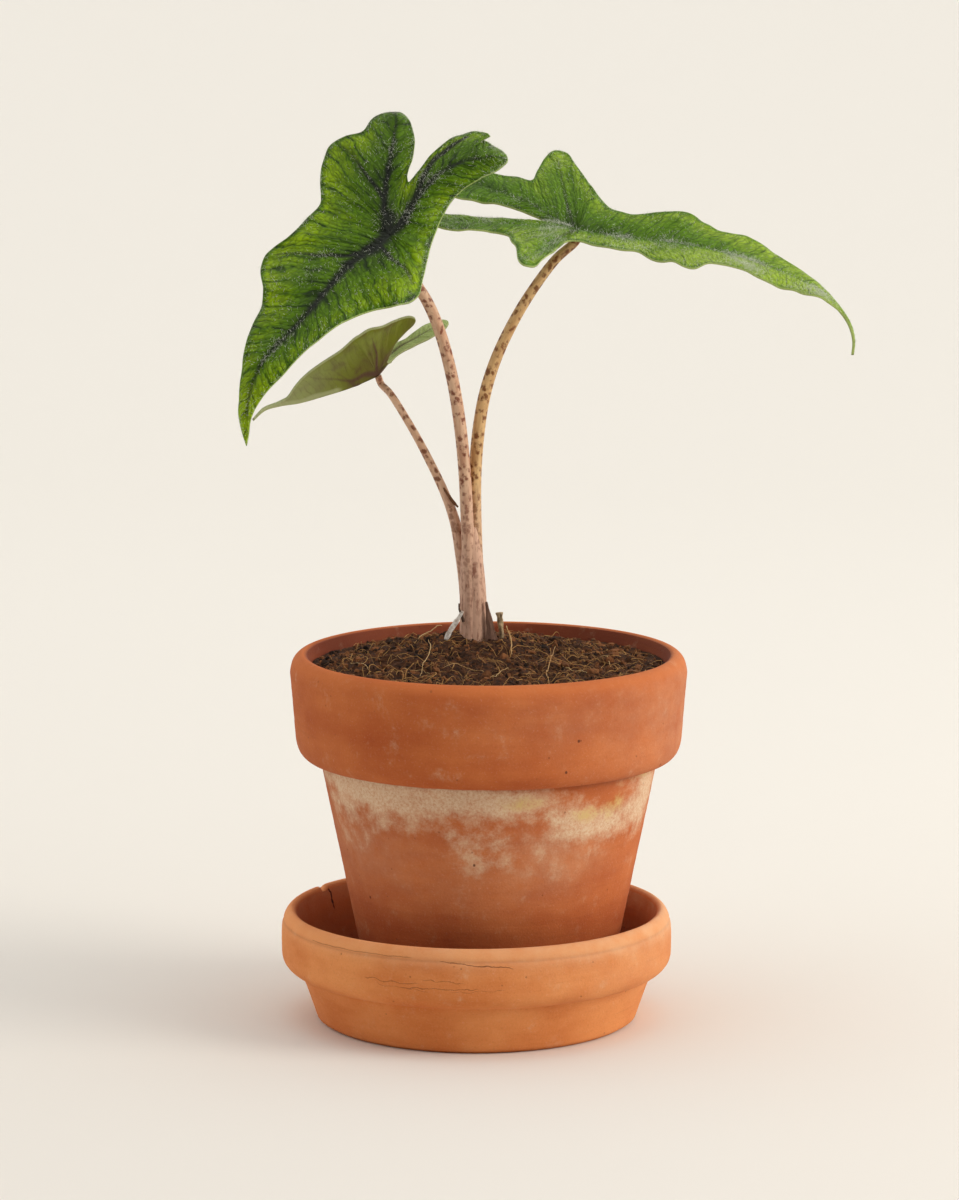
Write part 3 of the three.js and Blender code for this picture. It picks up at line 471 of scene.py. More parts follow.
class Paint:
    """Builds the nodes of one material round its principled shader. Lengths are millimetres."""

    def __init__(self, name: str, **constants: float | Colour) -> None:
        """Starts a material.

        Args:
            name: the material's name.
            **constants: what is the same all over, by the shader socket's name with _ for a space.
        """
        self.material = bpy.data.materials.new(name)
        self.material.use_nodes = True
        self.tree = self.material.node_tree
        self.shader = next(node for node in self.tree.nodes if node.type == "BSDF_PRINCIPLED")
        for key, value in constants.items():
            self.shader.inputs[key.replace("_", " ")].default_value = value

    def node(self, kind: str, settings: dict, inputs: dict, output: int | str = 0) -> Signal:
        """Adds one node.

        Args:
            kind: the node's type.
            settings: its own settings.
            inputs: values or signals, by the socket's name or number.
            output: the socket that is read.

        Returns:
            That socket's signal.
        """
        node = self.tree.nodes.new(kind)
        for key, value in settings.items():
            setattr(node, key, value)
        for key, value in inputs.items():
            if isinstance(value, Signal):
                self.tree.links.new(value.socket, node.inputs[key])
            else:
                node.inputs[key].default_value = value
        return Signal(self, node.outputs[output])

    def sum(self, operation: Maths, *values: Signal | float) -> Signal:
        """Arithmetic on numbers."""
        return self.node("ShaderNodeMath", {"operation": operation.value}, dict(enumerate(values)))

    def vector(self, operation: Maths, *values: Signal | Point, output: int | str = 0) -> Signal:
        """Arithmetic on vectors."""
        settings = {"operation": operation.value}
        return self.node("ShaderNodeVectorMath", settings, dict(enumerate(values)), output)

    def lay(self, under: Signal | Colour, over: Signal | Colour, share: Signal | float) -> Signal:
        """Lays one colour over another by a share from 0 to 1."""
        settings = {"data_type": "RGBA", "clamp_factor": True}
        colours = [c if isinstance(c, Signal) else (*c, 1.0) for c in (under, over)]
        return self.node("ShaderNodeMix", settings, {0: share, 6: colours[0], 7: colours[1]}, 2)

    def rise(self, value: Signal, low: float, high: float, start: float = 0.0, stop: float = 1.0) -> Signal:
        """Goes smoothly from start to stop while the value goes from low to high."""
        ends = {"From Min": low, "From Max": high, "To Min": start, "To Max": stop}
        return self.node("ShaderNodeMapRange", {"interpolation_type": "SMOOTHSTEP"}, {"Value": value, **ends})

    def place(self) -> Signal:
        """The place on the object, in millimetres."""
        metres = self.node("ShaderNodeTexCoord", {}, {}, "Object")
        return self.stretched(metres, (1 / MM,) * 3)

    def stretched(self, place: Signal, factors: Point) -> Signal:
        """A place with each of its coordinates multiplied."""
        return self.vector(Maths.MULTIPLY, place, factors)

    def shifted(self, place: Signal, other: Signal, scale: float) -> Signal:
        """A place moved by another vector times a number."""
        return self.vector(Maths.MOVE, other, (scale,) * 3, place)

    def length(self, place: Signal) -> Signal:
        """How long a vector is."""
        return self.vector(Maths.LENGTH, place, output="Value")

    def parts(self, place: Signal) -> tuple[Signal, Signal, Signal]:
        """The three coordinates of a place."""
        split = self.node("ShaderNodeSeparateXYZ", {}, {0: place})
        return tuple(Signal(self, output) for output in split.socket.node.outputs)

    def noise(
        self, place: Signal, size: float, detail: float = 3.0, rough: float = 0.55, output: int | str = 0
    ) -> Signal:
        """Cloudy noise round 0.5 whose blots are about `size` across."""
        inputs = {"Vector": place, "Scale": 1 / size, "Detail": detail, "Roughness": rough}
        return self.node("ShaderNodeTexNoise", {}, inputs, output)

    def wander(self, place: Signal, size: float) -> Signal:
        """A noise colour to shift a place with."""
        return self.noise(place, size, 2.0, 0.5, "Color")

    def cells(self, place: Signal, size: float, edges: bool, loose: float = 1.0) -> Signal:
        """Distance, in cells, to the edge or the middle of irregular cells about `size` across."""
        settings = {"feature": "DISTANCE_TO_EDGE" if edges else "F1"}
        inputs = {"Vector": place, "Scale": 1 / size, "Randomness": loose}
        return self.node("ShaderNodeTexVoronoi", settings, inputs, "Distance")

    def value_of(self, name: str, output: str = "Fac") -> Signal:
        """A number that the mesh carries under a name."""
        return self.node("ShaderNodeAttribute", {"attribute_name": name}, {}, output)

    def place_of(self, name: str) -> Signal:
        """A vector that the mesh carries under a name."""
        return self.value_of(name, "Vector")

    def finish(self, colour: Signal, rough: Signal | float, relief: Signal, depth: float) -> Material:
        """Ends the material.

        Args:
            colour: its base colour.
            rough: its roughness.
            relief: its height, from 0 to 1.
            depth: how many millimetres that height is.

        Returns:
            The material.
        """
        self.tree.links.new(colour.socket, self.shader.inputs["Base Color"])
        if isinstance(rough, Signal):
            self.tree.links.new(rough.socket, self.shader.inputs["Roughness"])
        else:
            self.shader.inputs["Roughness"].default_value = rough
        bump = self.node("ShaderNodeBump", {}, {"Strength": 1.0, "Distance": depth * MM, "Height": relief})
        self.tree.links.new(bump.socket, self.shader.inputs["Normal"])
        return self.material


def shade(red: int, green: int, blue: int) -> Colour:
    """A colour as a screen shows it, from 0 to 255, turned into amounts of light."""
    part = np.array([red, green, blue]) / 255
    light = np.where(part <= 0.04045, part / 12.92, ((part + 0.055) / 1.055) ** 2.4)
    return tuple(float(x) for x in light)


@dataclass(frozen=True)
class Crack:
    """A hairline on a round wall, from one place to another: millimetres round the wall, and up."""

    start: Pair
    stop: Pair
    width: float
    wobble: float
    depth: float
    fade_in: float = 1.5
    fade_out: float = 3.0

    def mask(self, paint: Paint, wall: Signal) -> Signal:
        """1 on the line and 0 off it. The distance to the line has noise added to it."""
        run, rise = self.stop[0] - self.start[0], self.stop[1] - self.start[1]
        length = float(np.hypot(run, rise))
        cos, sin = run / length, rise / length
        around, up, _ = paint.parts(wall)
        far, high = around - self.start[0], up - self.start[1]
        along = far * cos + high * sin
        aside = high * cos - far * sin + (paint.noise(wall, 5.0, 4.0) - 0.5) * (2 * self.wobble)
        line = paint.rise(abs(aside), self.width * 0.35, self.width, 1.0, 0.0)
        inside = paint.rise(along, 0.0, self.fade_in)
        inside = inside * paint.rise(along, length - self.fade_out, length, 1.0, 0.0)
        return line * inside * self.depth


@dataclass(frozen=True)
class Terracotta:
    """Unglazed fired clay: mottled and grainy, with turning lines, lime bloom, damp and hairlines, and
    painted shade and painted highlight in its colour.

    It reads these values of the mesh: wall (millimetres round and up, and the radius), bloom,
    haze_and_highlight (lime haze, and painted highlight in places), lichen, damp_and_shade
    (damp and dirt, and painted shade in places) and worn.
    """

    name: str
    pale: Colour
    deep: Colour
    damp_and_shade: Colour
    lime: Colour = shade(226, 205, 172)
    moss: Colour = shade(203, 170, 66)
    speck: Colour = shade(74, 38, 26)
    cracks: tuple[Crack, ...] = ()

    def material(self) -> Material:
        """Builds the material."""
        paint = Paint(self.name, Specular_IOR_Level=0.25)
        place, wall = paint.place(), paint.place_of("wall")
        mottle = paint.noise(place, 34.0, 5.0, 0.6)
        grain = paint.noise(place, 0.7, 3.0, 0.6)
        lines = paint.noise(paint.stretched(place, (0.03, 0.03, 1.0)), 1.5, 3.0)
        smear = paint.noise(paint.stretched(place, (0.25, 0.25, 1.0)), 9.0, 4.0, 0.6)
        body = paint.lay(self.deep, self.pale, paint.rise(mottle * 0.6 + smear * 0.4, 0.25, 0.75))
        body = paint.lay(body, (0.0, 0.0, 0.0), paint.rise(lines, 0.62, 0.8, 0.0, 0.1))
        body = paint.lay(body, (1.0, 0.9, 0.78), paint.rise(grain, 0.55, 0.8, 0.0, 0.08))
        body = paint.lay(body, (0.12, 0.03, 0.01), paint.rise(grain, 0.25, 0.48, 0.13, 0.0))
        # damp_and_shade darkens the clay: damp and dirt, and painted shade under the pot's collar, at its
        # foot and on its left side.
        damp_and_shade = paint.value_of("damp_and_shade") * paint.rise(smear, 0.2, 0.6, 0.75, 1.1)
        body = paint.lay(body, self.damp_and_shade, damp_and_shade)
        body = self.with_bloom(paint, body, place)
        pits = paint.rise(paint.cells(place, 6.5, edges=False), 0.035, 0.075, 1.0, 0.0)
        crumbs = paint.cells(paint.stretched(place, (1.1, 1.0, 0.9)), 17.0, edges=False)
        crumbs = paint.rise(crumbs, 0.02, 0.04, 1.0, 0.0)
        body = paint.lay(body, self.speck, pits * 0.35 + crumbs * 0.8)
        crack = sum((line.mask(paint, wall) for line in self.cracks), pits * 0.0)
        body = paint.lay(body, (0.05, 0.015, 0.008), crack)
        body = paint.lay(body, self.pale, paint.value_of("worn") * 0.5)
        relief = 0.5 + (grain - 0.5) * 0.5 + (lines - 0.5) * 0.5 - pits * 0.5 - crack * 0.6
        return paint.finish(body, paint.rise(damp_and_shade, 0.0, 1.0, 0.92, 0.7), relief, 0.22)

    def with_bloom(self, paint: Paint, body: Signal, place: Signal) -> Signal:
        """Lays dusty lime, and a yellower growth, over the clay where the mesh says."""
        dust = paint.noise(place, 0.9, 4.0, 0.75)
        blot = paint.noise(place, 8.0, 7.0, 0.68)
        cover = paint.value_of("bloom") * 0.8 + (blot - 0.5) * 1.7
        lime = paint.rise(cover, 0.1, 0.85) * paint.rise(dust, 0.3, 0.62, 0.45, 1.0)
        # haze_and_highlight pales the clay with lime: real lime haze, and painted highlight where the lamp
        # falls on the collar and on the saucer's lip.
        body = paint.lay(body, self.lime, paint.value_of("haze_and_highlight") * paint.rise(blot, 0.2, 0.7, 0.4, 1.3))
        body = paint.lay(body, self.lime, lime * 0.84)
        moss = paint.rise(paint.value_of("lichen") * 0.8 + (blot - 0.5) * 1.7, 0.3, 0.9)
        return paint.lay(body, self.moss, moss * paint.rise(dust, 0.35, 0.6, 0.3, 1.0) * 0.55)


@dataclass(frozen=True)
class LeafSkin:
    """A hairy leaf's two faces: puffed up between sunken veins above, veined and duller below.

    It reads these values of the mesh: flat (millimetres along and across the midrib), rib,
    edge, under, glow and tip, and the map `veins` (millimetres from vein to vein, and out
    along them).
    """

    name: str
    deep: Colour
    green: Colour
    bright: Colour
    rib: Colour
    below: Colour
    below_rib: Colour
    margin: Colour
    spacing: float = 2.1
    broad: float = 5.4
    shine: float = 0.2
    tip_light: float = 0.7
    tip_start: float = 0.55
    hub_brown: float = 0.0
    veined: float = 0.5
    rim_light: float = 0.75
    cloud: float = 0.3

    def material(self) -> Material:
        """Builds the material."""
        paint = Paint(self.name, Specular_IOR_Level=0.15)
        flat = paint.place_of("flat")
        veins = paint.node("ShaderNodeUVMap", {"uv_map": "veins"}, {})
        drift = paint.noise(flat, 7.0, 3.0)
        across, _, _ = paint.parts(veins)
        phase = across * (1 / self.spacing) + drift * 2.6
        stripe = paint.sum(Maths.SWING, phase, 0.5) * 2.0
        lively = paint.rise(paint.noise(flat, 5.0, 3.0), 0.38, 0.6)
        line = paint.rise(stripe, 0.66, 1.0) * lively
        broad = paint.sum(Maths.SWING, across * (1 / self.broad) + drift * 1.3, 0.5) * 2.0
        patchy = paint.rise(paint.noise(flat, 10.0, 2.0), 0.38, 0.6, 0.25, 1.0)
        vein = paint.rise(broad, 0.8, 1.0) * patchy
        bent = paint.shifted(paint.stretched(veins, (1.0, 0.72, 1.0)), paint.wander(flat, 4.0), 3.0)
        cell = paint.cells(bent, self.spacing * 0.95, edges=True)
        net = paint.rise(cell, 0.0, 0.2, 1.0, 0.0)
        rib, edge, under = (paint.value_of(key) for key in ("rib", "edge", "under"))

        tip = paint.rise(paint.value_of("tip"), self.tip_start, 1.0, 0.0, self.tip_light)
        tone = paint.noise(flat, 16.0, 4.0, 0.6) * 0.7 + paint.value_of("glow") * 0.5 + tip
        tone = tone - paint.rise(broad, 0.35, 1.0, 0.0, self.veined * 0.36) * patchy
        face = paint.lay(self.deep, self.green, paint.rise(tone, 0.14, 0.5))
        face = paint.lay(face, self.bright, paint.rise(tone, 0.46, 0.9))
        face = paint.lay(face, self.deep, line * 0.3 + net * 0.42 + vein * self.veined)
        face = paint.lay(face, self.rib, paint.rise(rib + (drift - 0.5) * 0.4, 0.05, 0.85) * 0.94)
        # Painted light: the pale margin is stronger on the midrib's positive side, which on the front leaf is
        # its lit right edge.
        lit = paint.rise(paint.parts(flat)[1], 6.0, 12.0, 0.0, 0.55) + 0.35
        face = paint.lay(face, self.margin, paint.rise(edge, 0.72, 0.98) * lit)

        back = paint.lay(self.below, self.green, paint.rise(tone, 0.3, 0.8) * 0.2)
        clouds = paint.rise(paint.noise(flat, 6.5, 4.0), 0.42, 0.68) * self.cloud
        back = paint.lay(back, self.below_rib, clouds)
        back = paint.lay(back, self.margin, tip * 1.2)
        hub = paint.rise(paint.length(flat), 3.0, 17.0, self.hub_brown, 0.0)
        back = paint.lay(back, self.below_rib, hub)
        ribs = paint.rise(rib + (drift - 0.5) * 0.3, 0.1, 0.8) * 0.85
        back = paint.lay(back, self.below_rib, ribs + line * 0.2)
        back = paint.lay(back, self.margin, paint.rise(edge, 0.66, 0.98) * 0.7)
        colour = paint.lay(face, back, paint.rise(under, 0.35, 0.65))
        # Painted light: the cut rim between the faces takes the pale margin colour, as if its thickness were
        # lit, by rim_light.
        cut = paint.rise(abs(under - 0.5), 0.3, 0.5, 1.0, 0.0)
        colour = paint.lay(colour, self.margin, cut * self.rim_light)

        swell = (1.0 - stripe * stripe) * 0.22 + paint.rise(cell, 0.0, 0.5) * 0.4
        grain = (paint.noise(flat, 0.8, 3.0) - 0.5) * 0.35
        relief = (swell - line * 0.2 + grain) * (1.0 - under * 0.75)
        rough = self.shine + paint.noise(flat, 1.6, 2.0) * 0.25 - rib * 0.06 + under * 0.2
        return paint.finish(colour, rough, relief, 0.6)


@dataclass(frozen=True)
class StalkSkin:
    """A fleshy stalk, blotched in short broken rings and faintly grooved along its length.

    It reads these values of the mesh: wrap (millimetres across, out and along) and age (1 at
    the foot).
    """

    name: str
    flesh: Colour
    shadow: Colour
    blotch: Colour
    old: Colour = shade(212, 171, 146)
    amount: float = 0.5

    def material(self) -> Material:
        """Builds the material."""
        paint = Paint(self.name, Specular_IOR_Level=0.25)
        wrap, age = paint.place_of("wrap"), paint.value_of("age")
        tone = paint.noise(paint.stretched(wrap, (1.0, 1.0, 0.25)), 2.4, 4.0, 0.6)
        flesh = paint.lay(self.shadow, self.flesh, paint.rise(tone, 0.3, 0.62))
        grooves = paint.noise(paint.stretched(wrap, (1.0, 1.0, 0.035)), 0.45, 3.0, 0.6)
        flesh = paint.lay(flesh, self.old, age * 1.25)
        flesh = paint.lay(flesh, self.blotch, paint.rise(grooves, 0.55, 0.75, 0.0, 0.3) * (0.35 + age * 0.65))
        torn = paint.shifted(paint.shifted(wrap, paint.wander(wrap, 2.6), 2.4), paint.wander(wrap, 0.7), 0.8)
        crowd = paint.noise(paint.stretched(wrap, (0.8, 0.8, 1.0)), 4.0, 3.0, 0.6)
        ragged = paint.noise(wrap, 0.8, 4.0, 0.7)
        spots = paint.cells(paint.stretched(torn, (1.0, 1.0, 0.8)), 1.9, edges=False)
        spots = spots + ragged * 0.7 - crowd * (0.55 + 0.3 * self.amount)
        spots = paint.rise(spots, 0.18, 0.58, 1.0, 0.0)
        smear = paint.noise(paint.stretched(wrap, (1.0, 1.0, 0.2)), 1.1, 4.0, 0.65)
        bands = paint.noise(paint.stretched(wrap, (0.15, 0.15, 1.0)), 5.0, 2.0)
        smears = paint.rise(smear * 0.7 + bands * 0.3, 0.53, 0.61) * age * 0.95
        colour = paint.lay(flesh, self.blotch, spots * (0.88 - age * 0.76) + smears * 0.62)
        relief = 0.5 + (grooves - 0.5) * 0.7
        return paint.finish(colour, 0.42 + age * 0.3, relief, 0.16)


@dataclass(frozen=True)
class Plain:
    """A dry or crumbly stuff of two tones that vary from strand to strand and along each.

    It reads the value strand of the mesh, a number for each strand or crumb.
    """

    name: str
    dark: Colour
    light: Colour
    size: float
    rough: float
    depth: float
    spread: float = 1.0

    def material(self) -> Material:
        """Builds the material."""
        paint = Paint(self.name, Specular_IOR_Level=0.3)
        place = paint.place()
        pick = paint.noise(place, self.size, 5.0, 0.65)
        each = paint.sum(Maths.SWING, paint.value_of("strand") * 97.3, 1.0)
        tone = pick * (1.0 - 0.5 * self.spread) + each * (0.5 * self.spread)
        colour = paint.lay(self.dark, self.light, paint.rise(tone, 0.22, 0.8))
        fine = paint.noise(place, self.size * 0.35, 4.0, 0.7)
        return paint.finish(colour, self.rough, fine, self.depth)


# ---- Pot and saucer ----


@dataclass(frozen=True)
class Blot:
    """A soft-edged patch on a round wall: its middle and its half size, in degrees and millimetres."""

    turn: float
    height: float
    width: float
    tall: float
    strength: float

    def over(self, degrees: Array, height: Array) -> Array:
        """How strong the patch is: a bell curve in the direction times one in the height."""
        around = bell(degrees_from(degrees, self.turn), self.width)
        return self.strength * around * bell(height - self.height, self.tall)


@dataclass
class ClayWare:
    """Anything turned from clay: a fine lathe form that is never quite round, and its marks."""

    spacing: float = 0.9
    sides: int = 360
    centre_x: float = 0.0

    def form(self, corners: Sequence[Pair], closed: bool, seed: int) -> Form:
        """Turns a profile and gives the form a potter's unevenness.

        Each point moves out by the noise of its height (turning lines, the same all round)
        and by the noise of its place (a slow wobble of the wall), both less near the axis.

        Args:
            corners: the profile.
            closed: see `turned`.
            seed: picks the noise.

        Returns:
            The form, with its place on the wall as `wall`.
        """
        form = turned(refined(corners, self.spacing), self.sides, self.centre_x, closed)
        x, y, z = form.points.T
        x = x - self.centre_x
        radius = np.maximum(np.hypot(x, y), 1e-6)
        lines = 0.05 * value_noise(0 * z, z, 2.3, seed) + 0.03 * value_noise(0 * z, z, 0.9, seed + 1)
        wobble = 0.12 * value_noise(x, y, 38.0, seed + 2, z)
        grow = (lines + wobble) * np.minimum(radius / 20, 1)
        form.points[:, 0] += x / radius * grow
        form.points[:, 1] += y / radius * grow
        form.values["wall"] = np.column_stack([np.arctan2(y, x) * radius, z, radius])
        return form

    def patches(self, form: Form, name: str, blots: Sequence[Blot], where: Array | float) -> None:
        """Adds up soft patches on the form's wall, as the value `name`, where the mask is 1."""
        around, height, radius = form.values["wall"].T
        degrees = np.degrees(around / radius)
        total = sum((blot.over(degrees, height) for blot in blots), np.zeros(len(height)))
        form.values[name] = np.clip(total, 0, 1) * where


@dataclass
class Saucer(ClayWare):
    """The saucer: slanted foot, upright band, rolled lip, and a chip in the lip at the far left."""

    foot_radius: float = 55.0
    chamfer: float = 1.2
    hip_radius: float = 62.6
    hip_z: float = 17.6
    band_radius: float = 69.3
    lip_z: float = 31.0
    top: float = 39.5
    lip_width: float = 3.8
    inner_radius: float = 64.0
    edge_drop: float = 2.0
    wall_inset: float = 4.0
    wall_drop: float = 17.5
    cove: float = 3.5
    cove_rise: float = 2.0
    floor_radius: float = 52.5
    floor_z: float = 8.0
    line_drop: float = 4.2
    line_depth: float = 0.35
    line_width: float = 0.55
    chip_turn: float = 149.0
    chip_width: float = 1.6
    chip_depth: float = 1.8
    damp_heights: tuple[float, ...] = (8.0, 16.0, 22.0, 39.5)
    damp_inside: tuple[float, ...] = (0.85, 0.85, 0.55, 0.2)
    haze_and_highlight: tuple[Blot, ...] = each(
        Blot,
        # The patch at 12 degrees is painted highlight on the lip's lit inner edge.
        (-60, 38.5, 75, 4.5, 0.34), (-25, 28, 45, 14, 0.1), (12, 38.5, 45, 5, 0.3), (120, 38, 80, 4, 0.2),
    )
    finish: Terracotta = Terracotta(
        name="saucer_clay",
        pale=shade(229, 151, 90),
        deep=shade(200, 111, 54),
        damp_and_shade=shade(120, 52, 30),
        cracks=each(
            Crack,
            ((-121.0, 35.6), (-95.0, 33.2), 0.2, 1.0, 0.75),
            ((-150.0, 27.6), (-128.0, 27.2), 0.18, 1.4, 0.4),
            ((-136.0, 25.6), (-107.0, 26.2), 0.18, 1.6, 0.45),
            ((-128.0, 29.0), (-112.0, 28.4), 0.16, 1.6, 0.35),
            ((-145.0, 26.2), (-124.0, 24.8), 0.14, 1.8, 0.3),
            ((-118.0, 25.0), (-98.0, 25.8), 0.14, 1.8, 0.3),
            ((-176.0, 35.9), (-129.0, 36.2), 0.2, 0.5, 0.6),
            ((165.0, 39.0), (158.0, 29.5), 0.4, 1.4, 0.95),
        ),
    )

    def inside(self) -> list[Pair]:
        """Radius and height of the inside, from the floor's edge up to the lip."""
        return [
            (self.floor_radius, self.floor_z),
            (self.floor_radius + self.cove, self.floor_z + self.cove_rise),
            (self.inner_radius - self.wall_inset, self.top - self.wall_drop),
            (self.inner_radius, self.top - self.edge_drop),
        ]

    def profile(self) -> list[Pair]:
        """Radius and height from the middle of the underside out, up and back to the middle."""
        bulge = self.band_radius - self.hip_radius
        lip = (self.band_radius - self.lip_width, self.lip_z)
        return [
            (1.0, 0.0),
            (self.foot_radius, 0.0),
            (self.foot_radius + 1.6 * self.chamfer, self.chamfer),
            *quarter((self.hip_radius, self.hip_z + bulge), bulge, bulge, (-90, -10), 8),
            (self.band_radius, self.lip_z - 0.6),
            *quarter(lip, self.lip_width, self.top - self.lip_z, (0, 90), 12),
            (self.inner_radius + 0.5, self.top - 0.6),
            *self.inside()[::-1],
            (1.0, self.floor_z),
        ]

    def build(self) -> None:
        """Makes the saucer's piece.

        The line round the lip is pressed in, and darkened, by a bell curve in the height. The
        chip takes the lip's top down by exp(-x^4) of the direction.
        """
        form = self.form(self.profile(), closed=False, seed=11)
        around, z, radius = form.values["wall"].T
        outside = radius > self.inner_radius + 3
        from_line = z - self.top + self.line_drop
        pressed = self.line_depth * bell(from_line, self.line_width) * outside
        form.points[:, :2] -= form.points[:, :2] / radius[:, None] * pressed[:, None]
        away = degrees_from(np.degrees(around / radius), self.chip_turn) / self.chip_width
        form.points[:, 2] -= self.chip_depth * np.exp(-(away**4)) * (z > self.top - 1.5)
        radii, heights = np.transpose(self.inside())
        inside = (radius < np.interp(z, heights, radii) + 1) & (z > self.floor_z - 1)
        wet = np.interp(z, self.damp_heights, self.damp_inside)
        form.values["damp_and_shade"] = np.where(inside, wet, 0.3 * bell(from_line, 0.5) * outside)
        form.values["worn"] = bell(z - self.top + 2, 2.5) * (radius > self.inner_radius)
        for name, blots in (("haze_and_highlight", self.haze_and_highlight), ("bloom", ()), ("lichen", ())):
            self.patches(form, name, blots, 1.0)
        form.piece("saucer_clay", "saucer_clay", self.finish.material(), "saucer", sharp=50)


@dataclass
class Pot(ClayWare):
    """The flowerpot: a cone with a tall collar and a rounded lip, open in the floor's middle."""

    spacing: float = 1.4
    centre_x: float = 4.4
    base_z: float = 8.3
    height: float = 122.8
    base_radius: float = 42.3
    shoulder_radius: float = 59.8
    collar_drop: float = 36.6
    collar_inset: float = 3.7
    collar_radius: float = 68.3
    collar_roll: float = 8.5
    lip_radius: float = 70.0
    lip_drop: float = 6.6
    lip_width: float = 4.5
    mouth_radius: float = 63.7
    mouth_drop: float = 1.8
    neck_radius: float = 54.0
    floor_radius: float = 37.5
    floor_thickness: float = 8.0
    drain_radius: float = 8.0
    bloom: tuple[Blot, ...] = each(
        Blot,
        (-140, 91, 34, 6, 0.95), (-150, 80, 18, 10, 0.5), (-122, 84, 16, 7, 0.55), (-100, 90, 18, 6, 0.9),
        (-92, 74, 15, 8, 0.5), (-78, 88, 12, 5, 0.8), (-60, 80, 11, 6, 0.95), (-44, 78, 13, 6, 1.0),
        (-22, 84, 12, 13, 0.95), (-78, 66, 24, 6, 0.25), (20, 86, 30, 8, 0.8), (75, 90, 25, 5, 0.9),
        (115, 84, 20, 9, 0.8), (160, 90, 22, 6, 0.9),
    )
    lichen: tuple[Blot, ...] = each(
        Blot,
        (-78, 88, 9, 3.5, 1.0), (-55, 82, 9, 4, 0.9), (-40, 84, 8, 6, 0.75), (-24, 93, 12, 2.5, 0.8),
        (130, 88, 12, 4, 0.6),
    )
    haze_and_highlight: tuple[Blot, ...] = each(
        Blot,
        (-100, 62, 55, 20, 0.07), (-66, 68, 22, 11, 0.16), (-150, 72, 24, 16, 0.12), (60, 70, 60, 18, 0.12),
        # These two patches on the collar's right and front are painted highlight: lime laid on where the lamp
        # falls on the clay.
        (-14, 113, 40, 24, 0.15), (-72, 118, 26, 12, 0.05),
    )
    # Painted shade: the clay on the pot's left side, away from the lamp, is darkened.
    painted_left_shade: tuple[Blot, ...] = (Blot(-160, 100, 42, 70, 0.16),)
    finish: Terracotta = Terracotta(
        name="pot_clay", pale=shade(204, 116, 62), deep=shade(170, 80, 36), damp_and_shade=shade(104, 38, 20)
    )

    def __post_init__(self) -> None:
        """Works out the heights that several parts of the pot share."""
        self.top = self.base_z + self.height
        self.collar = self.top - self.collar_drop
        self.floor = self.base_z + self.floor_thickness
        self.mouth = self.top - self.mouth_drop

    def profile(self) -> list[Pair]:
        """Radius and height from the drain hole's lower edge out, up, in and back down to it."""
        roll = (self.shoulder_radius + self.collar_inset, self.collar + self.collar_roll)
        lip = (self.lip_radius - self.lip_width, self.top - self.lip_drop)
        return [
            (self.drain_radius, self.base_z),
            (self.base_radius - 0.6, self.base_z),
            (self.base_radius, self.base_z + 0.6),
            (self.shoulder_radius, self.collar),
            *quarter(roll, self.collar_radius - roll[0], self.collar_roll, (-90, 0), 10),
            *quarter(lip, self.lip_width, self.lip_drop, (0, 90), 12),
            (self.mouth_radius + 0.5, self.top - 0.5),
            (self.mouth_radius, self.mouth),
            (self.neck_radius, self.collar),
            (self.floor_radius, self.floor),
            (self.drain_radius, self.floor),
            (self.drain_radius, self.base_z),
        ]

    def inside(self, z: Array | float) -> Array | float:
        """The inner radius at a height between the floor and the mouth."""
        heights = (self.floor, self.collar, self.mouth)
        return np.interp(z, heights, (self.floor_radius, self.neck_radius, self.mouth_radius))

    def build(self) -> None:
        """Makes the pot's piece, with bloom on its cone, and a darker band under its collar and at its foot
        that is partly dirt and damp and partly painted shade, and painted shade on its left side.
        """
        form = self.form(self.profile(), closed=True, seed=23)
        _, z, radius = form.values["wall"].T
        wall = np.interp(z, [self.base_z, self.collar], [self.base_radius, self.shoulder_radius])
        cone = (z < self.collar - 0.2) & (np.abs(radius - wall) < 0.6)
        inner = (z > self.collar) & (radius < self.inside(z) + 1.2)
        for name, where in (("bloom", cone), ("lichen", cone), ("haze_and_highlight", ~inner), ("painted_left_shade", ~inner)):
            self.patches(form, name, getattr(self, name), where)
        # Darker towards the foot: damp, and painted shade from the saucer.
        foot = 0.95 * bell(z - self.base_z, 19) * cone
        # A thin dark line under the collar: dirt, and the collar's painted contact shadow.
        dirt = 0.5 * bell(z - self.collar + 0.8, 0.7) * (radius < self.shoulder_radius + 1)
        form.values["damp_and_shade"] = np.where(inner, 0.75, foot + dirt + form.values.pop("painted_left_shade"))
        form.values["worn"] = bell(z - self.top + 1.5, 2.2) * (radius > 64.5)
        form.piece("pot_clay", "pot_clay", self.finish.material(), "pot", sharp=50)


# ---- Leaf blades ----


@dataclass(frozen=True)
class Rib:
    """A main vein, drawn flat: its route, its half width at both ends and how dark it is there."""

    route: tuple[Pair, ...]
    widths: Pair
    shades: Pair


@dataclass(frozen=True)
class BladeShape:
    """A blade drawn flat, in millimetres from its hub, and the midrib that it is folded along.

    s runs along the midrib to the tip and t across it, to the side that `side` points to. The
    margin is walked once round: 0 at the tip, 1 level with the hub on the negative side, 2 at
    that side's rear lobe, 3 in the notch between the lobes, 4 at the other rear lobe, 5 level
    with the hub again and 6 back at the tip. Its rows are (walk, s, t, height above the fold),
    without the height where it is 0.
    """

    midrib: tuple[Point, ...]
    hub: int
    side: Point
    folds: tuple[tuple[Pair, ...], tuple[Pair, ...]]
    lobes: tuple[tuple[Pair, ...], tuple[Pair, ...]]
    margin: tuple[tuple[float, ...], ...]
    ribs: tuple[Rib, ...]


@dataclass(frozen=True)
class Sheet:
    """The upper face of a blade on a grid of columns (down the veins) and rows (out to the margin)."""

    flat: Array  # (columns, rows, 2): s and t
    points: Array  # (columns, rows, 3): places in space
    depth: Array  # (columns, rows): how thick the blade is
    along: Array  # (columns, rows): millimetres walked from vein to vein
    out: Array  # (columns, rows): millimetres from the vein's foot
    left: Array  # (columns, rows): millimetres still to go to the margin


